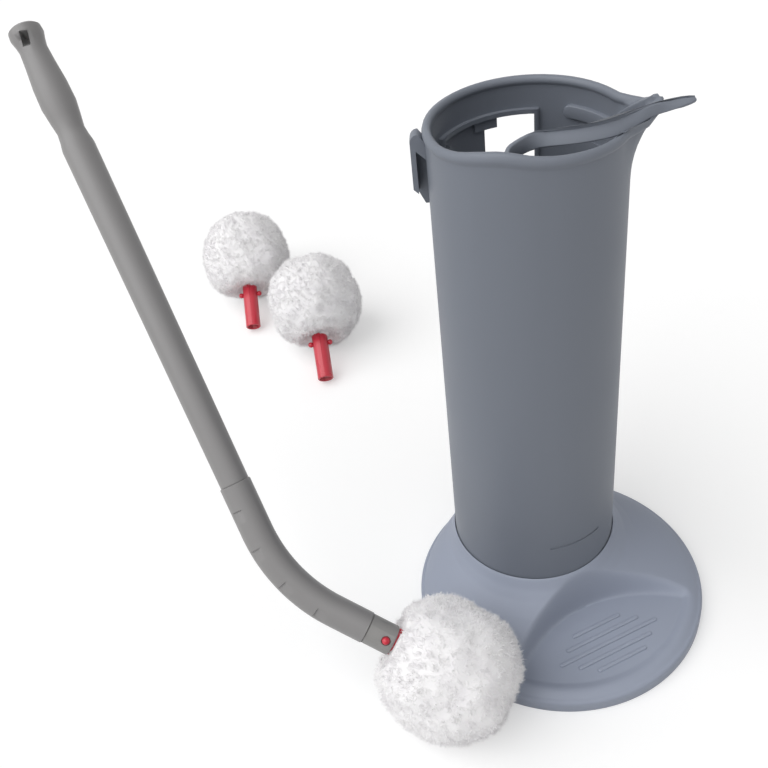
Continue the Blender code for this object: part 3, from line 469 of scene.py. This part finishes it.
def seen_rays(tree):
    """1 for the rays that show a background: seen straight, in a gloss or through glass."""
    path = add(tree, "ShaderNodeLightPath").outputs
    seen = calc(tree, "MAXIMUM", path["Is Camera Ray"], path["Is Glossy Ray"])
    return calc(tree, "MAXIMUM", seen, path["Is Transmission Ray"])


def studio_world():
    """A world that is white where it is seen and lights the object softly."""
    world = bpy.data.worlds.new("studio")
    world.use_nodes = True
    tree = world.node_tree
    strength = calc(tree, "MULTIPLY_ADD", seen_rays(tree), 1.0 - WORLD_LIGHT, WORLD_LIGHT)
    fill(tree, tree.nodes["Background"], {"Color": (1.0, 1.0, 1.0, 1.0), "Strength": strength})
    scene.world = world


def studio_floor():
    """A large pale floor that looks near white and keeps the soft shadows."""
    reach = FLOOR_REACH
    mesh = bpy.data.meshes.new("floor")
    mesh.from_pydata([(-reach, -reach, 0), (reach, -reach, 0), (reach, reach, 0), (-reach, reach, 0)], [],
                     [(0, 1, 2, 3)])
    material, tree, shader = new_material("floor_white")
    fill(tree, shader, {"Base Color": (FLOOR_TONE, FLOOR_TONE, FLOOR_TONE, 1.0), "Roughness": 0.9,
                        "Specular IOR Level": 0.1, "Emission Color": (1.0, 1.0, 1.0, 1.0),
                        "Emission Strength": calc(tree, "MULTIPLY", seen_rays(tree), FLOOR_LIFT)})
    floor = new_piece("floor", mesh, material)


scene.view_settings.view_transform = "Standard"
photo_camera()
sun("key_light", direction=(-0.85, 0.05, 0.90), spread=65.0, strength=2.0)
sun("fill_light", direction=(-0.20, -0.55, 0.95), spread=60.0, strength=0.62)
studio_world()
studio_floor()


def hill(angle, middle, half_width):
    """1 at the middle angle, falling smoothly to 0 at half_width to either side."""
    away = abs((angle - middle + 180.0) % 360.0 - 180.0)
    if away >= half_width:
        return 0.0
    return math.cos(math.pi / 2 * away / half_width) ** 2


def wall_radius(angle, height):
    """The tube's outer radius at an angle and a height: its draft and the spout that flares out of it."""
    share = max(0.0, (height - COLLAR_HEIGHT) / (RIM_HEIGHT - COLLAR_HEIGHT))
    draft = 1.0 - (1.0 - TUBE_TOP_RADIUS / TUBE_RADIUS) * share
    up = max(0.0, (height - RIM_HEIGHT + SPOUT_DEPTH) / SPOUT_DEPTH)
    flare = SPOUT_REACH * min(up, 1.0) ** SPOUT_CURVE * hill(angle, SPOUT_ANGLE, SPOUT_HALF_WIDTH)
    return (TUBE_RADIUS + flare) * draft


def wall_normal(spot):
    """The direction that the tube's wall faces, outwards, at a place."""
    angle = math.degrees(math.atan2(spot.y, spot.x))
    radius = wall_radius(angle, spot.z)
    step = WALL_STEP
    climb = (wall_radius(angle, spot.z + step) - wall_radius(angle, spot.z - step)) / (2 * step)
    turn = math.degrees(step / radius)
    swing = (wall_radius(angle + turn, spot.z) - wall_radius(angle - turn, spot.z)) / (2 * step)
    outward = Vector((spot.x, spot.y, 0.0)).normalized()
    along = Vector((-outward.y, outward.x, 0.0))
    return (outward - along * swing - Vector((0, 0, climb))).normalized()


def smooth_path(points, count):
    """Points along a smooth curve through the given plan points."""
    curve = []
    for i in range(len(points) - 1):
        before = Vector(points[max(i - 1, 0)])
        start = Vector(points[i])
        end = Vector(points[i + 1])
        after = Vector(points[min(i + 2, len(points) - 1)])
        slope = end - before
        bend = 2 * before - 5 * start + 4 * end - after
        twist = 3 * start - before - 3 * end + after
        for k in range(count):
            t = k / count
            curve.append(0.5 * (2 * start + slope * t + bend * t ** 2 + twist * t ** 3))
    curve.append(Vector(points[-1]))
    return curve


def strap_line():
    """The strap's centre line in plan, from its root to its tip, with the spout straight ahead on +X."""
    turn = math.radians(ROOT_ANGLE - SPOUT_ANGLE)
    root = (TUBE_RADIUS - TUBE_WALL / 2) * Vector((math.cos(turn), math.sin(turn)))
    points = [(root.x, root.y), (root.x * 0.80, -0.78 * TUBE_RADIUS)]
    points += [(x * TUBE_RADIUS, y * TUBE_RADIUS) for x, y in STRAP_PLAN]
    points.append((TUBE_RADIUS + STRAP_OVERHANG, -0.045 * TUBE_RADIUS))
    return smooth_path(points, STRAP_STEPS)


def strap_lean(along, root):
    """How far the strap leans back: more away from its root, and less where it crosses the rim."""
    share = min(1.0, max(0.0, ((along - root) / TUBE_RADIUS - LEAN_START) / LEAN_GROWTH))
    crossing = math.exp(-((along / TUBE_RADIUS - CROSSING_PLACE) / CROSSING_WIDTH) ** 2)
    return math.radians(STRAP_LEAN) * share * share * (3 - 2 * share) * (1.0 - CROSSING_HOLD * crossing)


def lean_strap(mesh):
    """Leans the strap's upright band back about its middle."""
    line = strap_line()
    taper_start = STRAP_TAPER_START * TUBE_RADIUS
    taper_length = TUBE_RADIUS + STRAP_OVERHANG - taper_start
    back = Matrix.Rotation(math.radians(-SPOUT_ANGLE), 2)
    forth = Matrix.Rotation(math.radians(SPOUT_ANGLE), 2)
    top = RIM_HEIGHT + STRAP_ABOVE_RIM
    for vertex in mesh.vertices:
        if vertex.co.z < top - STRAP_HEIGHT - STRAP_MARGIN:
            continue
        flat = back @ vertex.co.xy
        nearest = min(range(len(line)), key=lambda k: (line[k] - flat).length_squared)
        place = line[nearest]
        if (place - flat).length > STRAP_THICKNESS / 2 + STRAP_MARGIN:
            continue
        taper = max(0.0, (place.x - taper_start) / taper_length)
        low = top - STRAP_HEIGHT + (STRAP_HEIGHT - STRAP_TIP_HEIGHT) * taper
        if vertex.co.z < low - STRAP_MARGIN:
            continue
        heading = (line[min(nearest + 1, len(line) - 1)] - line[max(nearest - 1, 0)]).normalized()
        behind = Vector((-heading.y, heading.x))
        middle = (top + low) / 2
        lean = strap_lean(place.x, line[0].x)
        offset = (flat - place).dot(behind)
        rise = vertex.co.z - middle
        moved = offset * math.cos(lean) + rise * math.sin(lean)
        spot = forth @ (flat + behind * (moved - offset))
        vertex.co = (spot.x, spot.y, middle + rise * math.cos(lean) - offset * math.sin(lean))
    mesh.update()


def tall_cup():
    """The tube with its spout, strap, arm, hook and window; its walls are shaded as the true round form."""
    mesh = merged_copy("holder_tube")
    lean_strap(mesh)
    shade(mesh, CUP_SHARP)
    found = vectors(mesh.corner_normals, "vector")
    for face in mesh.polygons:
        middle = face.center
        if not WALL_START < middle.z < RIM_HEIGHT - WALL_FACE_GAP:
            continue
        radius = math.hypot(middle.x, middle.y)
        expected = wall_radius(math.degrees(math.atan2(middle.y, middle.x)), middle.z)
        if not -WALL_INWARD < radius - expected < WALL_OUTWARD:
            continue
        facing = face.normal.dot(wall_normal(middle))
        if abs(facing) <= WALL_FACING:
            continue
        for corner in face.loop_indices:
            spot = mesh.vertices[mesh.loops[corner].vertex_index].co
            if spot.z <= RIM_HEIGHT - WALL_CORNER_GAP:
                found[corner] = math.copysign(1.0, facing) * wall_normal(spot)
    mesh.normals_split_custom_set([tuple(row) for row in found])
    piece = new_piece("tall_cup", mesh, HOLDER_PLASTIC)
    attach(piece, "holder")
    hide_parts("holder_tube")


def soft_step(value, width):
    """0 below 0, 1 above width, and a smooth climb between."""
    share = np.clip(value / width, 0.0, 1.0)
    return share * share * (3.0 - 2.0 * share)


def dome_level(share):
    """The dome's height at a share of the way from the collar to the edge, through smooth points."""
    shares, levels = zip(*DOME_SHAPE)
    total = np.zeros_like(share)
    for weight, shift in DOME_BLUR:
        total += weight * np.interp(np.clip(share + shift, 0.0, 1.0), shares, levels)
    return BASE_EDGE + (COLLAR_HEIGHT - BASE_EDGE) * total


def recess_depth(x, y):
    """How far a place is inside the foot recess: 0 outside it, 1 on its floor."""
    from_heel = HEEL_RADIUS - np.hypot(x, y + HEEL_TOP + HEEL_RADIUS)
    from_band = BASE_RADIUS - BAND_WIDTH - np.hypot(x, y + BASE_OFFSET)
    heel = soft_step(from_heel + HEEL_SLOPE * HEEL_LEAD, HEEL_SLOPE)
    band = soft_step(from_band + BAND_SLOPE * BAND_LEAD, BAND_SLOPE)
    return heel * band


def ring(radius, height, centre=0.0):
    """A level ring of places around the base; its centre is a place on the Y axis."""
    turns = np.arange(BASE_TURNS) * 2 * math.pi / BASE_TURNS
    x = radius * np.cos(turns)
    y = centre + radius * np.sin(turns)
    return np.stack([x, y, np.full(BASE_TURNS, height)], axis=1)


def top_rows():
    """The rings of the dome, from the collar to the edge, with the foot recess sunk into them."""
    rows = []
    inner = SOCKET_RADIUS + COLLAR_LIP
    for share in np.linspace(0.0, 1.0, DOME_ROWS):
        row = ring(inner + (BASE_RADIUS - EDGE_ROUNDING - inner) * share, 0.0, -BASE_OFFSET * share)
        height = dome_level(np.full(BASE_TURNS, share))
        depth = recess_depth(row[:, 0], row[:, 1])
        row[:, 2] = height + (np.minimum(RECESS_FLOOR, height) - height) * depth
        rows.append(row)
    return rows


def under_rows(tops):
    """Every few rows of the dome, lowered by the wall below the lowest place around, and inside the edge."""
    heights = np.stack([row[:, 2] for row in tops])
    lowest = heights.copy()
    for turn in range(-UNDER_TURNS, UNDER_TURNS + 1):
        lowest = np.minimum(lowest, np.roll(heights, turn, axis=1))
    centre = np.array([0.0, -BASE_OFFSET])
    found = []
    for k in range(UNDER_FIRST, len(tops), UNDER_STEP):
        low = tops[k].copy()
        around = lowest[max(0, k - UNDER_ROWS):k + UNDER_ROWS + 1].min(axis=0)
        low[:, 2] = np.maximum(around - BASE_WALL, UNDER_LEAST)
        reach = np.hypot(low[:, 0], low[:, 1] + BASE_OFFSET)
        limit = np.minimum(1.0, (BASE_RADIUS - BASE_WALL - UNDER_GAP) / reach)
        low[:, :2] = centre + (low[:, :2] - centre) * limit[:, None]
        found.append(low)
    return found


def ring_rows():
    """The base's closed skin as rings of places, from the well's floor over the dome to the screw floor."""
    rows = [ring(WELL_CENTRE, SOCKET_FLOOR), ring(SOCKET_RADIUS - SOCKET_LIP, SOCKET_FLOOR),
            ring(SOCKET_RADIUS, SOCKET_FLOOR + SOCKET_LIP), ring(SOCKET_RADIUS, COLLAR_HEIGHT - COLLAR_DROP)]
    tops = top_rows()
    rows += tops
    edge_height = float(dome_level(np.ones(1))[0])
    for i in range(1, EDGE_STEPS + 1):
        turn = math.pi / 2 * i / EDGE_STEPS
        rows.append(ring(BASE_RADIUS - EDGE_ROUNDING * (1 - math.sin(turn)),
                         edge_height - EDGE_ROUNDING * (1 - math.cos(turn)), -BASE_OFFSET))
    for radius, height in ((BASE_RADIUS, FOOT_HEIGHT), (BASE_RADIUS - FOOT_ROUNDING, 0.0),
                           (BASE_RADIUS - BASE_WALL, 0.0)):
        rows.append(ring(radius, height, -BASE_OFFSET))
    rows += reversed(under_rows(tops))
    outside = SOCKET_RADIUS + BASE_WALL
    inside = SOCKET_RADIUS - SCREW_WELL_INSET
    for radius, height in ((outside, COLLAR_HEIGHT * UNDER_COLLAR), (outside, 0.0), (inside, 0.0),
                           (inside, SCREW_FLOOR), (WELL_CENTRE, SCREW_FLOOR)):
        rows.append(ring(radius, height))
    return rows


def add_stiffener(shape, number):
    """One upright rib under the base, from the socket outwards."""
    angle = 2 * math.pi * (number + 0.5) / STIFFENER_COUNT
    along = Vector((math.cos(angle), math.sin(angle), 0.0))
    across = Vector((-along.y, along.x, 0.0)) * STIFFENER_WIDTH / 2
    inner = SOCKET_RADIUS + BASE_WALL
    reach = BASE_RADIUS - BASE_WALL - SOCKET_RADIUS - STIFFENER_GAP
    length = max(STIFFENER_LEAST, reach + BASE_OFFSET * -along.y)
    corners = []
    for spot, top in zip((along * (inner - STIFFENER_SINK), along * (inner + length)), STIFFENER_TOPS):
        for side in (-1, 1):
            for height in (STIFFENER_FOOT, top):
                corners.append(shape.verts.new(spot + across * side + Vector((0, 0, height))))
    a, b, c, d, e, f, g, h = corners
    for loop in ((a, b, d, c), (e, g, h, f), (a, e, f, b), (c, d, h, g), (b, f, h, d), (a, c, g, e)):
        shape.faces.new(loop)


def round_base():
    """The base: collar, dome, foot recess with soft edges, rolled rim and hollow underside with stiffeners."""
    rows = ring_rows()
    count = BASE_TURNS
    faces = []
    for k in range(len(rows) - 1):
        for i in range(count):
            j = (i + 1) % count
            faces.append((k * count + i, (k + 1) * count + i, (k + 1) * count + j, k * count + j))
    faces.append(tuple(range(count)))
    faces.append(tuple(reversed(range((len(rows) - 1) * count, len(rows) * count))))
    mesh = bpy.data.meshes.new("round_base")
    mesh.from_pydata([tuple(place) for place in np.concatenate(rows)], [], faces)
    shape = bmesh.new()
    shape.from_mesh(mesh)
    for number in range(STIFFENER_COUNT):
        add_stiffener(shape, number)
    bmesh.ops.recalc_face_normals(shape, faces=shape.faces)
    shape.to_mesh(mesh)
    shape.free()
    shade(mesh, BASE_SHARP)
    piece = new_piece("round_base", mesh, BASE_PLASTIC)
    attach(piece, "holder")
    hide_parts("base_plate")


def brush_frame():
    """Where the mounted stem's mouth stands, and how it is turned."""
    reach = BASE_RADIUS + PILE_RADIUS - BRUSH_OVERHANG
    bearing = math.radians(BRUSH_BEARING)
    place = Vector((reach * math.cos(bearing), reach * math.sin(bearing) - BASE_OFFSET, BRUSH_RISE))
    return (Matrix.Translation(place) @ Matrix.Rotation(math.radians(BRUSH_TURN), 4, "Z")
            @ Matrix.Rotation(math.radians(-BRUSH_LEAN_BACK), 4, "X")
            @ Matrix.Rotation(math.radians(-STEM_LEAN), 4, "Y"))


def notch_depth(length, total, turns):
    """How deep the notches are at a length along the sleeve: a sharp step at the top that fades out below."""
    away = np.abs((turns - math.radians(NOTCH_ANGLE) + math.pi) % (2 * math.pi) - math.pi)
    window = np.clip((1.0 - away / math.radians(NOTCH_HALF_ANGLE)) * NOTCH_EDGE, 0.0, 1.0)
    for i in range(NOTCH_COUNT):
        down = total - NOTCH_FIRST - NOTCH_PITCH * i + NOTCH_LENGTH / 2 - length
        if 0.0 <= down <= NOTCH_LENGTH:
            return NOTCH_DEPTH * (1.0 - down / NOTCH_LENGTH) * window
    return np.zeros_like(turns)


def sleeve_ring(length, radius, turns):
    """One ring of places around the sleeve's bent centre line, in the brush's own frame."""
    bend = math.radians(BEND_ANGLE)
    arc = bend * BEND_RADIUS
    bent = min(max(length - SLEEVE_LOWER, 0.0), arc) / BEND_RADIUS
    past = max(0.0, length - SLEEVE_LOWER - arc)
    centre = np.array([BEND_RADIUS * (1 - math.cos(bent)) + past * math.sin(bend), 0.0,
                       SLEEVE_START + min(length, SLEEVE_LOWER) + BEND_RADIUS * math.sin(bent)
                       + past * math.cos(bend)])
    outside = np.array([-math.cos(bent), 0.0, math.sin(bent)])
    across = np.array([0.0, -1.0, 0.0])
    return centre + radius[:, None] * (np.cos(turns)[:, None] * outside + np.sin(turns)[:, None] * across)


def bent_sleeve():
    """The sleeve between collar and handle, with soft lips and notches like thumbnail marks."""
    total = SLEEVE_LOWER + math.radians(BEND_ANGLE) * BEND_RADIUS + SLEEVE_UPPER
    turns = np.arange(SLEEVE_TURNS) * 2 * math.pi / SLEEVE_TURNS
    rows = []
    for length in np.linspace(0.0, total, SLEEVE_ROWS):
        from_end = min(length, total - length, SLEEVE_LIP)
        rounding = SLEEVE_LIP - math.sqrt(max(0.0, SLEEVE_LIP ** 2 - (SLEEVE_LIP - from_end) ** 2))
        rows.append(sleeve_ring(length, SLEEVE_RADIUS - rounding - notch_depth(length, total, turns), turns))
    for length in np.linspace(total, 0.0, BORE_ROWS):
        rows.append(sleeve_ring(length, np.full(SLEEVE_TURNS, SLEEVE_RADIUS - SLEEVE_WALL), turns))
    faces = []
    for k in range(len(rows)):
        low = k * SLEEVE_TURNS
        high = (k + 1) % len(rows) * SLEEVE_TURNS
        for i in range(SLEEVE_TURNS):
            j = (i + 1) % SLEEVE_TURNS
            faces.append((low + i, low + j, high + j, high + i))
    mesh = bpy.data.meshes.new("bent_sleeve")
    mesh.from_pydata([tuple(place) for place in np.concatenate(rows)], [], faces)
    shape = bmesh.new()
    shape.from_mesh(mesh)
    bmesh.ops.recalc_face_normals(shape, faces=shape.faces)
    shape.to_mesh(mesh)
    shape.free()
    mesh.transform(brush_frame())
    shade(mesh, SLEEVE_SHARP)
    piece = new_piece("bent_sleeve", mesh, HANDLE_PLASTIC)
    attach(piece, "brush_handle")
    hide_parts("elbow_sleeve")


def rib_bar(name):
    """The longest grip rib, with a rounded top and rounded ends, centred on the origin."""
    half = RIB_WIDTH / 2
    shape = bmesh.new()
    rows = []
    for inset, height in RIB_SECTION:
        width = half * (1.0 - inset)
        row = []
        for end in (1, -1):
            for i in range(RIB_END_STEPS + 1):
                turn = math.pi * i / RIB_END_STEPS - math.pi / 2
                x = end * (0.5 * RIB_LONGEST - half + width * math.cos(turn))
                row.append(shape.verts.new((x, end * width * math.sin(turn), RIB_HEIGHT * height)))
        rows.append(row)
    for lower, upper in zip(rows, rows[1:]):
        for i in range(len(lower)):
            j = (i + 1) % len(lower)
            shape.faces.new((lower[i], lower[j], upper[j], upper[i]))
    shape.faces.new(rows[-1])
    shape.faces.new(list(reversed(rows[0])))
    bmesh.ops.recalc_face_normals(shape, faces=shape.faces)
    mesh = mesh_of(shape, name)
    mesh.shade_smooth()
    bar = bpy.data.objects.new(name, mesh)
    scene.collection.objects.link(bar)
    return bar


def input_name(tree, name):
    """The identifier of a node tree's input socket."""
    for item in tree.interface.items_tree:
        if item.item_type == "SOCKET" and item.in_out == "INPUT" and item.name == name:
            return item.identifier
    raise KeyError(name)


def copied(tree, thing):
    """An object's mesh, as one instance to copy."""
    source = add(tree, "GeometryNodeObjectInfo", {"Object": thing, "As Instance": True},
                 transform_space="ORIGINAL")
    return source.outputs["Geometry"]


def finish_tree(tree, placed):
    """Makes the placed instances real, sets their material and puts them out."""
    material = add(tree, "NodeGroupInput").outputs["Material"]
    real = add(tree, "GeometryNodeRealizeInstances", {"Geometry": placed.outputs["Instances"]})
    dressed = add(tree, "GeometryNodeSetMaterial",
                  {"Geometry": real.outputs["Geometry"], "Material": material})
    add(tree, "NodeGroupOutput", {"Geometry": dressed.outputs["Geometry"]})


def rib_tree(bar):
    """A row of grip ribs, the middle one longest and each outer one shorter by a set length."""
    tree = bpy.data.node_groups.new("grip_ribs", "GeometryNodeTree")
    socket(tree, "Geometry", "NodeSocketGeometry")
    socket(tree, "Count", "NodeSocketInt", default=RIB_COUNT)
    socket(tree, "Pitch", "NodeSocketFloat", default=RIB_PITCH)
    socket(tree, "Longest", "NodeSocketFloat", default=RIB_LONGEST)
    socket(tree, "Shorter by", "NodeSocketFloat", default=RIB_SHORTER)
    socket(tree, "Centre", "NodeSocketVector", default=(0.0, -RIB_CENTRE, RECESS_FLOOR))
    socket(tree, "Material", "NodeSocketMaterial")
    socket(tree, "Geometry", "NodeSocketGeometry", "OUTPUT")
    inside = add(tree, "NodeGroupInput").outputs
    middle = calc(tree, "MULTIPLY", calc(tree, "SUBTRACT", inside["Count"], 1.0), 0.5)
    step = add(tree, "ShaderNodeCombineXYZ", {"Y": calc(tree, "MULTIPLY", inside["Pitch"], -1.0)})
    to_first = add(tree, "ShaderNodeCombineXYZ", {"Y": calc(tree, "MULTIPLY", middle, inside["Pitch"])})
    start = add(tree, "ShaderNodeVectorMath", {0: inside["Centre"], 1: to_first.outputs[0]}, operation="ADD")
    line = add(tree, "GeometryNodeMeshLine",
               {"Count": inside["Count"], "Start Location": start.outputs[0], "Offset": step.outputs[0]},
               mode="OFFSET")
    index = add(tree, "GeometryNodeInputIndex").outputs[0]
    from_middle = calc(tree, "ABSOLUTE", calc(tree, "SUBTRACT", index, middle))
    loss = calc(tree, "MULTIPLY", from_middle, inside["Shorter by"])
    length = calc(tree, "SUBTRACT", inside["Longest"], loss)
    share = calc(tree, "DIVIDE", length, inside["Longest"])
    scale = add(tree, "ShaderNodeCombineXYZ", {"X": share, "Y": 1.0, "Z": 1.0})
    finish_tree(tree, add(tree, "GeometryNodeInstanceOnPoints", {
        "Points": line.outputs["Mesh"], "Instance": copied(tree, bar), "Scale": scale.outputs[0]}))
    return tree


def grip_ribs():
    """The five ribs on the floor of the foot recess."""
    bar = rib_bar("rib_bar")
    tree = rib_tree(bar)
    row = new_piece("rib_row", bpy.data.meshes.new("rib_row"), BASE_PLASTIC)
    modifier = row.modifiers.new("ribs", "NODES")
    modifier.node_group = tree
    modifier[input_name(tree, "Material")] = BASE_PLASTIC
    mesh = evaluated_mesh(row)
    bpy.data.objects.remove(row)
    bpy.data.objects.remove(bar)
    piece = new_piece("grip_ribs", mesh, BASE_PLASTIC)
    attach(piece, "holder")


def fur_tuft(name):
    """A small lock of curved fibres, with its root at the origin and its tips up.

    Each strand's turn, lean, length and curl vary with the sine of its number, so that no two are alike.
    """
    shape = bmesh.new()
    for strand in range(FUR_STRANDS):
        turn = 2.0 * math.pi * strand / FUR_STRANDS + 0.4 * math.sin(3.1 * strand)
        lean = FUR_LEAN[0] + FUR_LEAN[1] * math.sin(2.3 * strand + 1.0)
        length = FUR_LENGTH * (FUR_SHORTEN[0] + FUR_SHORTEN[1] * math.cos(1.7 * strand))
        along = Vector((math.cos(turn), math.sin(turn), 0.0))
        across = Vector((-along.y, along.x, 0.0))
        rows = []
        for i in range(FUR_STEPS + 1):
            t = i / FUR_STEPS
            curl = FUR_CURL * math.sin(3.6 * t + 2.0 * strand)
            spot = along * (FUR_ROOT + length * lean * t ** 1.4) + across * curl
            spot.z = length * (t - FUR_SINK)
            width = FUR_WIDTH * (1.0 - FUR_TAPER * t)
            rows.append((shape.verts.new(spot - across * width), shape.verts.new(spot + across * width)))
        for lower, upper in zip(rows, rows[1:]):
            shape.faces.new((lower[0], lower[1], upper[1], upper[0]))
    tuft = bpy.data.objects.new(name, mesh_of(shape, name))
    scene.collection.objects.link(tuft)
    return tuft


def fur_tree(tuft):
    """Spreads tufts over a surface, where its fur attribute lets them stand."""
    tree = bpy.data.node_groups.new("swab_fur", "GeometryNodeTree")
    socket(tree, "Geometry", "NodeSocketGeometry")
    socket(tree, "Density", "NodeSocketFloat", default=100000.0)
    socket(tree, "Least scale", "NodeSocketFloat", default=0.7)
    socket(tree, "Most scale", "NodeSocketFloat", default=1.25)
    socket(tree, "Tilt", "NodeSocketFloat", default=0.75)
    socket(tree, "Seed", "NodeSocketInt", default=FUR_SEED)
    socket(tree, "Material", "NodeSocketMaterial")
    socket(tree, "Geometry", "NodeSocketGeometry", "OUTPUT")
    inside = add(tree, "NodeGroupInput").outputs
    cover = add(tree, "GeometryNodeInputNamedAttribute", {"Name": "fur"}, data_type="FLOAT")
    density = calc(tree, "MULTIPLY", inside["Density"], cover.outputs["Attribute"])
    points = add(tree, "GeometryNodeDistributePointsOnFaces",
                 {"Mesh": inside["Geometry"], "Density": density, "Seed": inside["Seed"]},
                 distribute_method="RANDOM").outputs
    spin = add(tree, "FunctionNodeRandomValue",
               {0: (-1.0, -1.0, -6.0), 1: (1.0, 1.0, 6.0), "Seed": inside["Seed"]}, data_type="FLOAT_VECTOR")
    reach = add(tree, "ShaderNodeVectorMath", {0: spin.outputs[0], "Scale": inside["Tilt"]}, operation="SCALE")
    turned = add(tree, "FunctionNodeRotateEuler",
                 {"Rotation": points["Rotation"], "Rotate By": reach.outputs[0]}, space="LOCAL")
    size = add(tree, "FunctionNodeRandomValue",
               {2: inside["Least scale"], 3: inside["Most scale"], "Seed": inside["Seed"]}, data_type="FLOAT")
    finish_tree(tree, add(tree, "GeometryNodeInstanceOnPoints", {
        "Points": points["Points"], "Instance": copied(tree, tuft), "Rotation": turned.outputs["Rotation"],
        "Scale": size.outputs[1]}))
    return tree


def freedom(spot):
    """How free a place on a pile is: 0 where it rests on the floor or the base, 1 in the open."""
    above = min(1.0, max(0.0, (spot.z - REST_HEIGHT) / REST_FADE))
    from_edge = math.hypot(spot.x, spot.y + BASE_OFFSET) - BASE_RADIUS
    beside = 1.0 if spot.z > BASE_REACH else min(1.0, max(0.0, (from_edge + BASE_MARGIN) / REST_FADE))
    return min(above, beside)


def fleece_body(head, name):
    """The pile's lumpy body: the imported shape, divided finely and raised in soft clumps."""
    body = new_piece(name, merged_copy(f"{head}_pile"), SWAB_FLEECE)
    divide = body.modifiers.new("divide", "SUBSURF")
    divide.levels = PILE_DIVISIONS
    divide.render_levels = PILE_DIVISIONS
    fine = evaluated_mesh(body)
    body.modifiers.clear()
    body.data = fine
    centre = pile_centre(head)
    places = vectors(fine.vertices, "co")
    cover = np.zeros(len(places))
    for i, (place, outward) in enumerate(zip(places, vectors(fine.vertices, "normal"))):
        spot = Vector(place)
        outward = Vector(outward)
        outer = min(1.0, max(0.0, ((spot - centre).length - PILE_HEART) / HEART_FADE))
        lump = (noise.fractal(spot * CLUMP_SCALE, 1.0, 2.0, 2) * CLUMP_HEIGHT
                + noise.noise(spot * LUMP_SCALE) * LUMP_HEIGHT)
        places[i] = spot + outward * (lump - PILE_SHRINK) * outer * freedom(spot)
        if outer > 0.5 and freedom(spot + outward * FUR_LENGTH * 0.5) > FUR_LEAST_FREEDOM:
            cover[i] = 1.0
    places[:, 2] = np.maximum(places[:, 2], FLOOR_GAP)
    fine.vertices.foreach_set("co", places.ravel())
    fine.attributes.new("fur", "FLOAT", "POINT").data.foreach_set("value", cover)
    fine.update()
    fine.shade_smooth()
    return body


def swab_fleece(head, tree, seed):
    """One swab's fleece: its lumpy body and the fibres that stand out of it, as one piece."""
    name = f"{head}_fleece"
    body = fleece_body(head, name)
    fibres = new_piece(f"{name}_fibres", body.data.copy(), SWAB_FLEECE)
    modifier = fibres.modifiers.new("fur", "NODES")
    modifier.node_group = tree
    area = sum(face.area for face in fibres.data.polygons)
    modifier[input_name(tree, "Density")] = FUR_TUFTS / area
    modifier[input_name(tree, "Seed")] = seed
    modifier[input_name(tree, "Material")] = SWAB_FLEECE
    strands = evaluated_mesh(fibres)
    bpy.data.objects.remove(fibres)
    tips = vectors(strands.vertices, "co")
    tips[:, 2] = np.maximum(tips[:, 2], FLOOR_GAP)
    strands.vertices.foreach_set("co", tips.ravel())
    whole = bmesh.new()
    whole.from_mesh(body.data)
    whole.from_mesh(strands)
    mesh = mesh_of(whole, name)
    mesh.materials.clear()
    mesh.materials.append(SWAB_FLEECE)
    mesh.shade_smooth()
    body.data = mesh
    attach(body, head)
    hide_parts(f"{head}_pile")


# Holder and brush
tall_cup()
round_base()
for number in (1, 2, 3):
    smoothed(f"base_screw_{number}", f"screw_{number}", "holder", "steel")
smoothed("handle_tube", "grip_tube", "brush_handle", "handle_grey")
bent_sleeve()
smoothed("socket_connector", "stem_collar", "brush_handle", "collar_grey")

# The hard pieces of the three swab heads
for head in ("brush_swab", "spare_one", "spare_two"):
    smoothed(f"{head}_core", f"{head}_stem", head, "core_red")
    smoothed(f"{head}_binding_ring", f"{head}_binding", head, "binding_white")
    for side in ("front", "rear"):
        smoothed(f"{head}_{side}_tongue", f"{head}_{side}_button", f"{head}_{side}_tongue", "core_red",
                 pile=pile_centre(head))

# What repeats: the grip ribs and the fleece
grip_ribs()
tuft = fur_tuft("fur_tuft")
fur = fur_tree(tuft)
for seed, head in enumerate(("brush_swab", "spare_one", "spare_two")):
    swab_fleece(head, fur, FUR_SEED + seed)
bpy.data.objects.remove(tuft)
